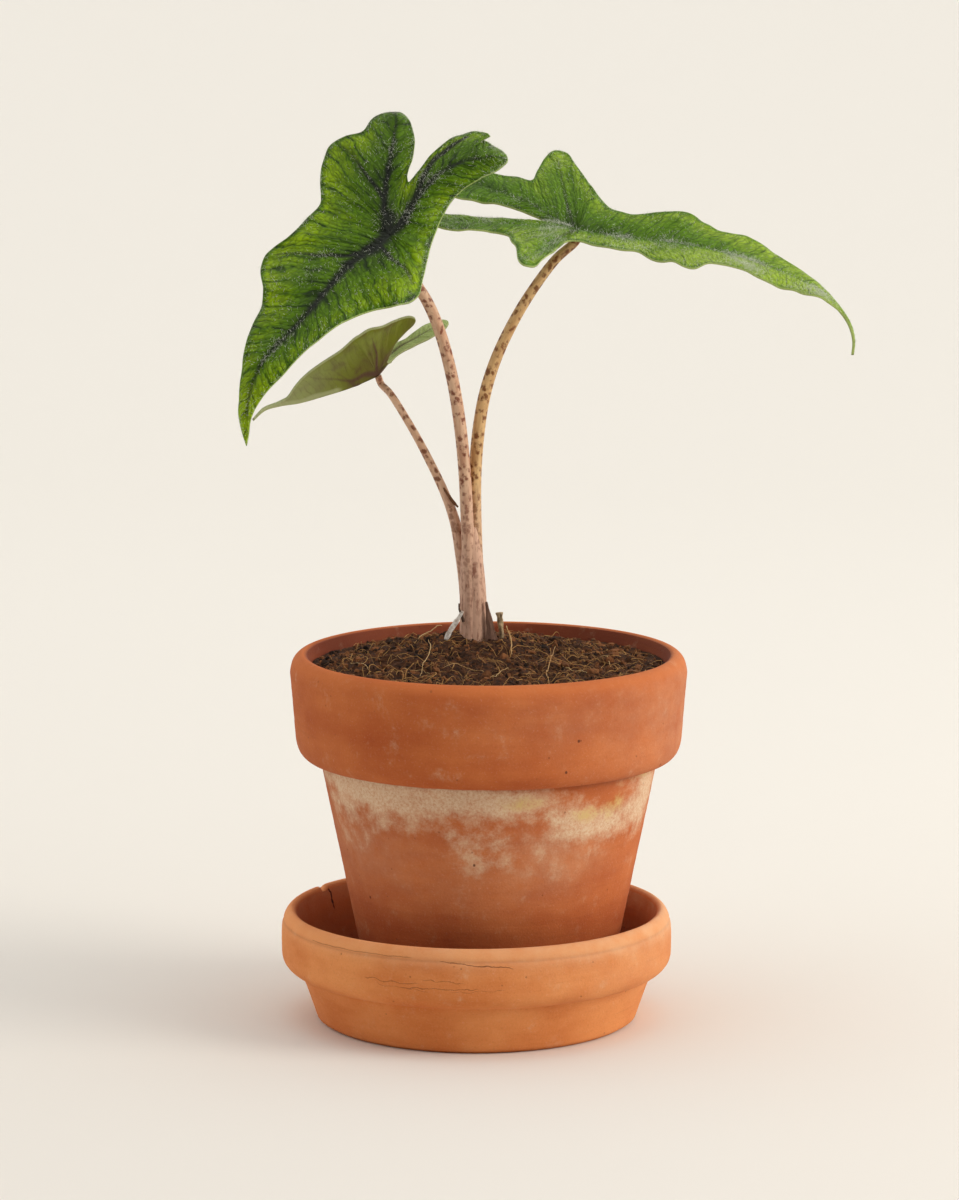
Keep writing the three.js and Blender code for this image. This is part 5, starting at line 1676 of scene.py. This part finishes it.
@dataclass(frozen=True)
class StemWrap:
    """The broad bases of the stalks, wrapped round one another at the foot into one stem."""

    finish: StalkSkin
    rows: tuple[tuple[float, float, float, float, float], ...] = (
        (118.3, -1.0, 12.9, 4.9, 4.5),
        (133.0, -1.0, 12.9, 4.9, 4.5),
        (151.0, -1.2, 12.8, 4.55, 4.2),
        (160.0, -1.5, 12.7, 4.1, 3.95),
        (167.0, -1.7, 12.6, 3.3, 3.3),
        (174.0, -1.8, 12.5, 2.1, 2.1),
    )
    sides: int = 60
    steps: int = 10

    def build(self) -> None:
        """Makes the stem's piece.

        The rows hold a height, the middle and both half widths there. A ring's point at angle
        a is the middle + (half width cos a, half depth sin a), creased along by noise of a.
        """
        z, x, y, wide, deep = (part[:, None] for part in smooth_path(self.rows, self.steps).T)
        cos, sin = circle(self.sides)
        crease = 1 + 0.05 * value_noise(cos * 5, sin * 5, 1.2, 57, z / 30)
        across, out, level = wide * cos, deep * sin, z + 0 * cos
        ends = np.column_stack([part[[0, -1], 0] for part in (x, y, z)])
        form = tube(np.dstack([x + across * crease, y + out * crease, level]), ends)
        wrap = tube(np.dstack([across, out, level]), ends * [0, 0, 1]).points
        form.values = {"wrap": wrap, "age": age_at(form.points[:, 2])}
        form.piece("stem_wrap", "stalk_pink", self.finish.material())


# ---- Leaves ----


@dataclass
class Leaf:
    """A leaf: its blade with two faces and a rim, and the hairs on it."""

    node: str
    slot: str
    shape: BladeShape
    skin: LeafSkin
    columns: tuple[int, int]
    rows: int
    hairs: int
    hair_length: Pair
    hair_width: Pair = (0.035, 0.065)
    hair_lean: float = 0.95
    hair_root: float = 0.1
    sink: float = 0.35
    crinkle: float = 0.5
    puff: float = 0.2
    crest: float = 0.0
    pale_seam: float = 0.0
    near_light_and_hairs: float = 0.0
    seed: int = 61
    weld: float = 0.001

    def __post_init__(self) -> None:
        """Works out the blade's surface."""
        self.surface = BladeSurface(self.shape)

    def rib_shade(self, flat: Array) -> Array:
        """How much of a rib there is at each place: the largest of the ribs' bell curves."""
        shades = []
        for rib in self.shape.ribs:
            gap, share = distance_to_route(flat, np.asarray(rib.route, float))
            width = np.interp(share, [0, 1], rib.widths)
            shades.append(np.interp(share, [0, 1], rib.shades) * bell(gap, width))
        return np.max(shades, axis=0)

    def upper(self) -> tuple[Sheet, Array, Array]:
        """The upper face with its fine relief.

        The ribs are sunk by their shade. Between the small veins the blade is puffed up by
        |sin| of the way from vein to vein, faded out at the rib and at the margin, and the
        margin is crinkled by noise that grows with the cube of the way out to it.

        Returns:
            The sheet, its points with relief, and the ribs' shade at each of them.
        """
        sheet = self.surface.sheet(self.columns, self.rows)
        size = sheet.out.shape
        normal = unit(np.cross(np.gradient(sheet.points, axis=0), np.gradient(sheet.points, axis=1)))
        normal[:, 0] = normal[:, 1]
        s, t = sheet.flat[..., 0], sheet.flat[..., 1]
        rib = self.rib_shade(sheet.flat.reshape(-1, 2)).reshape(size)
        reach = sheet.out + sheet.left
        r = sheet.out / np.maximum(reach, 1e-6)
        drift = value_noise(s, t, 7.0, self.seed)
        window = np.clip(sheet.out / 3, 0, 1) * np.clip(sheet.left / 2, 0, 1)
        relief = self.puff * np.abs(np.sin(np.pi * (sheet.along / 3.2 + 0.8 * drift))) ** 0.7 * window
        relief += 0.35 * value_noise(s, t, 5.0, self.seed + 1) * window
        crinkle = self.crinkle * value_noise(s, t, 4.5, self.seed + 2) * r**3
        relief += crinkle * np.clip(reach / 8, 0, 1)
        relief[:, 0] = 0
        points = sheet.points + normal * relief[..., None]
        points = points - self.fixed_up(sheet) * (self.sink * rib)[..., None]
        return sheet, points, rib

    def fixed_up(self, sheet: Sheet) -> Array:
        """One direction out of the upper face for every place on the same spot of the drawing."""
        return unit(self.surface.place(sheet.flat, 1.0) - self.surface.place(sheet.flat, 0.0))

    def form(self) -> Form:
        """The blade: the upper face, the lower one below it by the depth, and the rim between."""
        sheet, points, rib = self.upper()
        columns, rows = sheet.out.shape
        cell = np.round(points.reshape(-1, 3) / self.weld).astype(np.int64)
        _, first, merged = np.unique(cell, axis=0, return_index=True, return_inverse=True)
        merged = merged.ravel()
        quads = grid_faces(columns, rows)[:, ::-1]
        raw = np.vstack([quads[:, [0, 1, 2]], quads[:, [0, 2, 3]]])
        corners = merged[raw]
        whole = np.all(corners != np.roll(corners, 1, axis=1), axis=1)
        raw, corners = raw[whole], corners[whole]
        upper = points.reshape(-1, 3)[first]
        depth = sheet.depth.ravel()[first]
        lower = upper - self.fixed_up(sheet).reshape(-1, 3)[first] * depth[:, None]
        count = len(upper)
        rim = self.rim_faces(corners, count)
        uv = np.column_stack([sheet.along.ravel(), sheet.out.ravel()])
        flat = np.column_stack([sheet.flat.reshape(-1, 2)[first], np.zeros(count)])
        reach = (sheet.out + sheet.left).ravel()[first]
        way = sheet.out.ravel()[first] / np.maximum(reach, 1e-6)
        left = sheet.left.ravel()[first]
        seam = bell(flat[:, 1] - 0.5, 1.7) * np.clip((flat[:, 0] - 8) / 8, 0, 1)
        edge = np.maximum(np.exp(-left / 0.9), self.pale_seam * seam)
        glow = np.clip(way, 0, 1) ** 1.3 * np.clip(reach / 16, 0, 1) * np.clip(left / 2.5, 0.2, 1)
        # Painted light: the strip along the midrib's near side is lightened as if lit.
        glow += self.near_light_and_hairs * self.near_side(flat[:, 1]) * np.clip(left / 1.5, 0, 1)
        tip = np.clip(flat[:, 0] / self.surface.length, 0, 1)
        both = {"flat": flat, "rib": rib.ravel()[first], "edge": edge, "glow": glow, "tip": tip}
        values = {key: np.concatenate([part, part]) for key, part in both.items()}
        values["under"] = np.repeat([0.0, 1.0], count)
        under = corners[:, ::-1] + count
        rim_uv = uv[first][np.mod(rim, count).ravel()]
        corner_uv = np.vstack([uv[raw.ravel()], uv[raw[:, ::-1].ravel()], rim_uv])
        self.upper_face = (upper, corners, vertex_normals(upper, corners), both)
        return Form(np.vstack([upper, lower]), [corners, under, rim], values, corner_uv)

    @staticmethod
    def near_side(t: Array) -> Array:
        """1 on a strip along the midrib's negative side, and less the further out it lies."""
        return np.clip(-t / 4, 0, 1) * bell(t, 13)

    @staticmethod
    def rim_faces(corners: Array, count: int) -> Array:
        """Joins the open sides of the upper face to those of the lower one below it."""
        sides = np.vstack([corners[:, [0, 1]], corners[:, [1, 2]], corners[:, [2, 0]]])
        key = sides[:, 0] * count + sides[:, 1]
        twin = sides[:, 1] * count + sides[:, 0]
        a, b = sides[~np.isin(key, twin)].T
        return np.vstack([np.column_stack([b, a, a + count]), np.column_stack([b, a + count, b + count])])

    def hair_form(self) -> Form:
        """Short stiff hairs: a thin three-sided spike each, thickest on the ribs and the margin.

        A hair's foot is a random place in a triangle picked by its area times the density
        there, which is highest on a rib's flanks, at the margin and along the midrib's crest,
        and patchy by noise. Its tip is the foot plus its length times the normal, leaning at
        random.
        """
        rng = np.random.default_rng(self.seed + 5)
        upper, corners, normals, both = self.upper_face
        a, b, c = (upper[corners[:, k]] for k in range(3))
        area = np.linalg.norm(np.cross(b - a, c - a), axis=1)
        s, t, _ = both["flat"].T
        flank = both["rib"] * (1 - both["rib"])
        density = 0.12 + 2.3 * flank + 0.9 * both["edge"] + self.crest * bell(t, 1.1)
        # The same strength sets more hairs on that strip.
        density += 2.4 * self.near_light_and_hairs * self.near_side(t)
        density *= 0.25 + 1.5 * np.clip(value_noise(s, t, 8.0, self.seed + 6) + 0.25, 0, 1)
        density *= np.clip(np.hypot(s, t) / 9, 0.2, 1)
        weight = area * density[corners].mean(axis=1)
        pick = rng.choice(len(corners), self.hairs, p=weight / weight.sum())
        u, v = rng.uniform(0, 1, (2, self.hairs, 1))
        over = u + v > 1
        u, v = np.where(over, 1 - u, u), np.where(over, 1 - v, v)
        foot = a[pick] + (b[pick] - a[pick]) * u + (c[pick] - a[pick]) * v
        normal = unit(normals[corners[pick]].mean(axis=1))
        lean = unit(normal + self.hair_lean * rng.normal(0, 1, normal.shape))
        length = rng.uniform(*self.hair_length, (self.hairs, 1))
        side = unit(np.cross(lean, rng.normal(0, 1, lean.shape)))
        other = np.cross(lean, side)
        width = rng.uniform(*self.hair_width, (self.hairs, 1, 1))
        cos, sin = circle(3)[:, :, None]
        ring = foot[:, None] + width * (side[:, None] * cos + other[:, None] * sin)
        root, tip = ring - self.hair_root * normal[:, None], foot + lean * length
        points = np.concatenate([root, tip[:, None]], axis=1)
        one = np.array([[0, 1, 3], [1, 2, 3], [2, 0, 3], [0, 2, 1]])
        return copies(points, [one], rng.uniform(0, 1, self.hairs))

    def build(self, hair: Material) -> None:
        """Makes the blade's piece and its hairs."""
        self.form().piece(f"{self.node}_blade", self.slot, self.skin.material(), self.node)
        self.hair_form().piece(f"{self.node}_hairs", self.slot, hair)


def vertex_normals(points: Array, corners: Array) -> Array:
    """Each point's normal: the sum of its triangles' normals, each as long as twice its area."""
    a, b, c = (points[corners[:, k]] for k in range(3))
    normal = np.cross(b - a, c - a)
    total = np.zeros_like(points)
    for k in range(3):
        np.add.at(total, corners[:, k], normal)
    return unit(total)


# ---- The plant, the room and the camera ----


STALKS = (
    Route(
        "petiole_right",
        (
            (0.9, 13.5, 118.3), (0.9, 13.5, 133), (0.6, 13.5, 151), (-0.2, 13.5, 168), (-0.5, 13.7, 190),
            (0.6, 14, 206.5), (3, 14.6, 221), (7.3, 15.5, 234.4), (13.6, 16.7, 247.4), (20.1, 17.8, 257.9),
            (28, 19, 268.3),
        ),
        (2.7, 2.7, 2.4, 2.3, 2.25, 2.25, 2.15, 2, 1.9, 1.8, 1.7, 1.6, 1.6),
        2.0,
    ),
    Route(
        "petiole_front",
        (
            (-2.2, 11, 118.3), (-2.2, 11, 133), (-2.4, 11, 151.6), (-3, 11, 169), (-4.2, 10.5, 194.5),
            (-5.8, 9, 211.1), (-8.4, 7, 227.2), (-12.5, 4, 243.4), (-16.7, 1.5, 254.2), (-22.4, -1, 263.9),
        ),
        (2.6, 2.6, 2.4, 2.3, 2.2, 2.2, 2.15, 2.05, 2, 1.9, 1.8),
        0.0,
    ),
    Route(
        "petiole_small",
        (
            (-3.4, 14.8, 118.3), (-3.4, 14.8, 133), (-3.9, 14.8, 151), (-5.5, 15, 164), (-7.6, 15.6, 175.3),
            (-11.1, 17.5, 185), (-17.9, 22, 198.7), (-23.8, 26, 208.9), (-30.6, 31.5, 219),
        ),
        (2.3, 2.3, 2.2, 2.1, 1.9, 1.6, 1.45, 1.35, 1.3, 1.25, 1.25),
        3.0,
    ),
)

TAN_STALK = StalkSkin(
    "stalk_tan", shade(221, 182, 128), shade(190, 146, 96), shade(112, 56, 20), amount=0.62
)
PINK_STALK = StalkSkin("stalk_pink", shade(220, 182, 150), shade(190, 142, 112), shade(116, 52, 30))
YOUNG_STALK = StalkSkin(
    "stalk_young", shade(228, 188, 156), shade(204, 156, 124), shade(120, 60, 34), amount=0.6
)
STEM_SKIN = StalkSkin("stem_wrap", shade(222, 184, 156), shade(198, 152, 126), shade(116, 54, 34))

BROWN_SHEATH = Plain("dry_sheath", shade(60, 38, 30), shade(126, 94, 78), 1.4, 0.9, 0.3)
WHITE_SHEATH = Plain("dry_strip", shade(172, 152, 132), shade(253, 249, 242), 0.9, 0.85, 0.25, 0.2)
STUMP_SHEATH = Plain("dry_stump", shade(56, 34, 22), shade(238, 208, 162), 2.2, 0.85, 0.25, 0.1)

HUSKS = each(
    Husk,
    (
        "dry_sheath_right", ((5.3, 9.4, 118.3), (5.3, 9.4, 134), (4.5, 9.3, 141), (3.5, 9.2, 147.6)),
        (2.2, 2.1, 1.3, 0.35), (1, 1, 0.8, 0.35), (0.5, -1, 0), BROWN_SHEATH, "dry_sheath",
    ),
    (
        "sheath_stump", ((9.2, 10.8, 118.3), (9.1, 10.8, 134), (8.6, 10.5, 139), (8.1, 10.3, 143.6)),
        (0.7, 0.7, 0.85, 1.15), (0.7, 0.7, 0.8, 0.8), (0, -1, 0), STUMP_SHEATH, "dry_strip",
    ),
    (
        "dry_sheath_left", ((-10.9, 8, 134.2), (-9.4, 8, 137.2), (-7.1, 8.1, 140.8), (-4.8, 8.2, 144.4)),
        (0.8, 1.0, 1.0, 0.5), (0.4, 0.5, 0.5, 0.4), (-0.3, -1, 0.3), WHITE_SHEATH, "dry_strip",
    ),
    (
        "withered_edge",
        ((-11.6, 16.2, 187.4), (-9.9, 15.7, 184.8), (-8.1, 15.0, 182.4), (-6.5, 14.8, 180.7)),
        (0.25, 0.55, 0.6, 0.35), (0.3, 0.4, 0.4, 0.3), (0, -1, 0),
        Plain("withered_edge", shade(58, 44, 34), shade(140, 96, 66), 1.2, 0.9, 0.3), "dry_sheath",
    ),
    (
        "withered_tip", ((-4.6, 8.9, 140.5), (-5.2, 8.6, 143), (-6.0, 8.4, 145), (-6.1, 8.4, 147.2)),
        (0.5, 0.55, 0.4, 0.2), (0.3, 0.3, 0.3, 0.2), (0, -1, 0),
        Plain("withered_tip", shade(44, 34, 28), shade(96, 74, 60), 1.2, 0.9, 0.3), "dry_sheath",
    ),
)

GROWN_SKIN = LeafSkin(
    "leaf_front_skin", deep=shade(24, 44, 4), green=shade(80, 116, 4), bright=shade(144, 176, 4),
    rib=shade(28, 30, 28), below=shade(112, 130, 78), below_rib=shade(104, 74, 66),
    margin=shade(164, 186, 104),
)
LIGHT_SKIN = LeafSkin(
    "leaf_right_skin", deep=shade(38, 64, 8), green=shade(90, 130, 16), bright=shade(150, 180, 52),
    rib=shade(36, 44, 26), below=shade(120, 140, 84), below_rib=shade(104, 74, 66),
    margin=shade(176, 194, 118), tip_light=0.5, tip_start=0.15, veined=0.3,
)
# Painted light: the young leaf's upper-face colours are lifted far paler than its own green, for light
# shining through the thin blade, which lies in shade.
YOUNG_SKIN = LeafSkin(
    "leaf_small_skin", deep=shade(138, 154, 84), green=shade(170, 186, 118), bright=shade(212, 218, 168),
    rib=shade(84, 62, 52), below=shade(118, 126, 32), below_rib=shade(92, 62, 58),
    margin=shade(186, 192, 142), shine=0.4, tip_light=0.55, tip_start=0.1, hub_brown=0.4, veined=0.3,
    rim_light=0.2, cloud=0.5,
)

LEAVES = (
    Leaf("leaf_front", "leaf_upper", LEAF_FRONT, GROWN_SKIN, (150, 90), 44, 3800, (0.8, 1.9), seed=61),
    Leaf(
        "leaf_right", "leaf_upper", LEAF_RIGHT, LIGHT_SKIN, (160, 90), 40, 7600, (0.7, 1.7),
        crest=2.0, near_light_and_hairs=0.5, seed=71,
    ),
    Leaf(
        "leaf_small", "leaf_young", LEAF_SMALL, YOUNG_SKIN, (100, 64), 30, 900, (0.3, 0.8),
        sink=0.15, crinkle=0.25, puff=0.08, pale_seam=1.0, seed=81,
    ),
)


@dataclass(frozen=True)
class Plant:
    """The alocasia: its leaves on their stalks, the dry sheaths round their foot and the tuber."""

    # The hairs are real and whitish; their near-white colour and width also stand in for the glints on them:
    # painted highlight.
    hair: Plain = Plain("leaf_hair_and_glints", shade(206, 216, 190), shade(250, 250, 244), 4.0, 0.35, 0.01)
    cork: Plain = Plain("tuber_cork", shade(58, 36, 24), shade(128, 88, 58), 3.0, 0.9, 0.5)
    leaf_of_stalk: tuple[int, ...] = (1, 0, 2)
    stalk_skins: tuple[StalkSkin, ...] = (TAN_STALK, PINK_STALK, YOUNG_STALK)
    stalk_slots: tuple[str, ...] = ("stalk_tan", "stalk_pink", "stalk_pink")
    husk_seed: int = 91

    def build(self) -> None:
        """Makes the plant's pieces, and gives the hidden tuber its finish."""
        hair = self.hair.material()
        for leaf in LEAVES:
            leaf.build(hair)
        built: list[Stalk] = []
        for route, which, skin, slot in zip(STALKS, self.leaf_of_stalk, self.stalk_skins, self.stalk_slots):
            stalk = Stalk(route, LEAVES[which].surface, skin, slot)
            stalk.build(built)
            built.append(stalk)
        StemWrap(STEM_SKIN).build()
        for number, husk in enumerate(HUSKS):
            husk.build(self.husk_seed + number)
        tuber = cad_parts["tuber"]
        tuber.data.materials.clear()
        tuber.data.materials.append(self.cork.material())


@dataclass(frozen=True)
class Studio:
    """A pale paper sweep, one soft lamp at the right, a dim screen behind the camera, and air.

    Sizes and places are metres. The dim screen stands for the unlit end of a room and deepens
    the fronts.
    """

    floor_width: float = 7.0
    floor_front: float = -3.2
    sweep_start: float = 1.3
    sweep_radius: float = 1.6
    sweep_steps: int = 40
    wall_top: float = 4.2
    paper: Colour = shade(241, 238, 231)
    # Painted shade: the paper is darker towards the camera, to hold down the lamp's light on the near floor.
    near_paper_shade: Colour = shade(223, 219, 212)
    paper_turns: Pair = (-1300.0, 1300.0)
    air: Colour = shade(250, 248, 246)
    air_strength: float = 1.09
    screen: Colour = shade(70, 68, 66)
    screen_y: float = -2.3
    screen_size: Pair = (3.6, 2.2)
    lamp_place: Point = (1.5, -0.5, 0.86)
    lamp_target: Point = (0.0, 0.0, 0.13)
    lamp_size: float = 0.8
    lamp_watts: float = 14.5
    lamp_colour: Colour = shade(255, 247, 236)

    def build(self) -> None:
        """Makes the sweep, the screen, the lamp and the world."""
        self.sweep()
        self.dim_screen()
        self.lamp()
        world = bpy.data.worlds.new("air")
        world.use_nodes = True
        background = world.node_tree.nodes["Background"]
        background.inputs["Color"].default_value = (*self.air, 1.0)
        background.inputs["Strength"].default_value = self.air_strength
        bpy.context.scene.world = world
        bpy.context.scene.view_settings.view_transform = "Standard"

    @staticmethod
    def stand(name: str, metres: Array, faces: Array, finish: Material) -> None:
        """Makes a piece of the stage from its points and faces."""
        thing = put(name, Form(metres / MM, [faces]).mesh(name, None))
        thing.data.materials.append(finish)

    def sweep(self) -> None:
        """The paper: flat, then a quarter circle up, then upright, all of one width, and darkened towards the
        camera by painted shade.
        """
        angle = np.linspace(0, np.pi / 2, self.sweep_steps)
        y = np.concatenate([[self.floor_front], self.sweep_start + self.sweep_radius * np.sin(angle)])
        z = np.concatenate([[0.0], self.sweep_radius * (1 - np.cos(angle))])
        y, z = np.append(y, y[-1]), np.append(z, self.wall_top)
        x = np.array([-0.5, 0.5]) * self.floor_width
        points = np.stack([np.repeat(x, len(y)), np.tile(y, 2), np.tile(z, 2)], axis=1)
        paint = Paint("paper", Specular_IOR_Level=0.1)
        place = paint.place()
        near = paint.rise(paint.parts(place)[1], *self.paper_turns, 1.0, 0.0)
        tone = paint.lay(self.paper, self.near_paper_shade, near)
        finish = paint.finish(tone, 0.95, paint.noise(place, 3.0), 0.02)
        self.stand("paper_sweep", points, grid_faces(2, len(y))[:, ::-1], finish)

    def dim_screen(self) -> None:
        """The screen: one upright face behind the camera."""
        half, height = self.screen_size[0] / 2, self.screen_size[1]
        x, z = np.array([-half, half, half, -half]), np.array([0.0, 0.0, height, height])
        points = np.column_stack([x, np.full(4, self.screen_y), z])
        paint = Paint("screen_cloth", Specular_IOR_Level=0.0)
        weave = paint.noise(paint.place(), 4.0)
        tone = paint.lay(self.screen, (0.0, 0.0, 0.0), weave * 0.2)
        self.stand("dim_screen", points, np.arange(4)[None, :], paint.finish(tone, 0.95, weave, 0.1))

    def lamp(self) -> None:
        """The lamp: a square one that looks at the middle of the plant."""
        light = bpy.data.lights.new("key", "AREA")
        light.size, light.energy, light.color = self.lamp_size, self.lamp_watts, self.lamp_colour
        aim(put("key", light), self.lamp_place, self.lamp_target)


@dataclass(frozen=True)
class Viewpoint:
    """The camera of the photograph: where it stands, the point it looks at and its lens."""

    stand: Point = (0.0011, -1.6774, 0.4258)
    target: Point = (0.0011, 0.0, 0.1498)
    lens: float = 144.84
    film: float = 36.0

    def build(self) -> None:
        """Makes the camera and gives it to the scene."""
        camera = bpy.data.cameras.new("camera")
        camera.lens, camera.sensor_width = self.lens, self.film
        thing = put("camera", camera)
        aim(thing, self.stand, self.target)
        bpy.context.scene.camera = thing


def main() -> None:
    """Builds the clayware, the soil, the plant, the studio and the camera."""
    logging.basicConfig(level=logging.INFO, format="%(message)s")
    pot = Pot()
    for thing in (Saucer(), pot, Soil(pot), Plant(), Studio(), Viewpoint()):
        thing.build()
        log.info("%s is in place", type(thing).__name__)


if __name__ == "__main__":
    main()
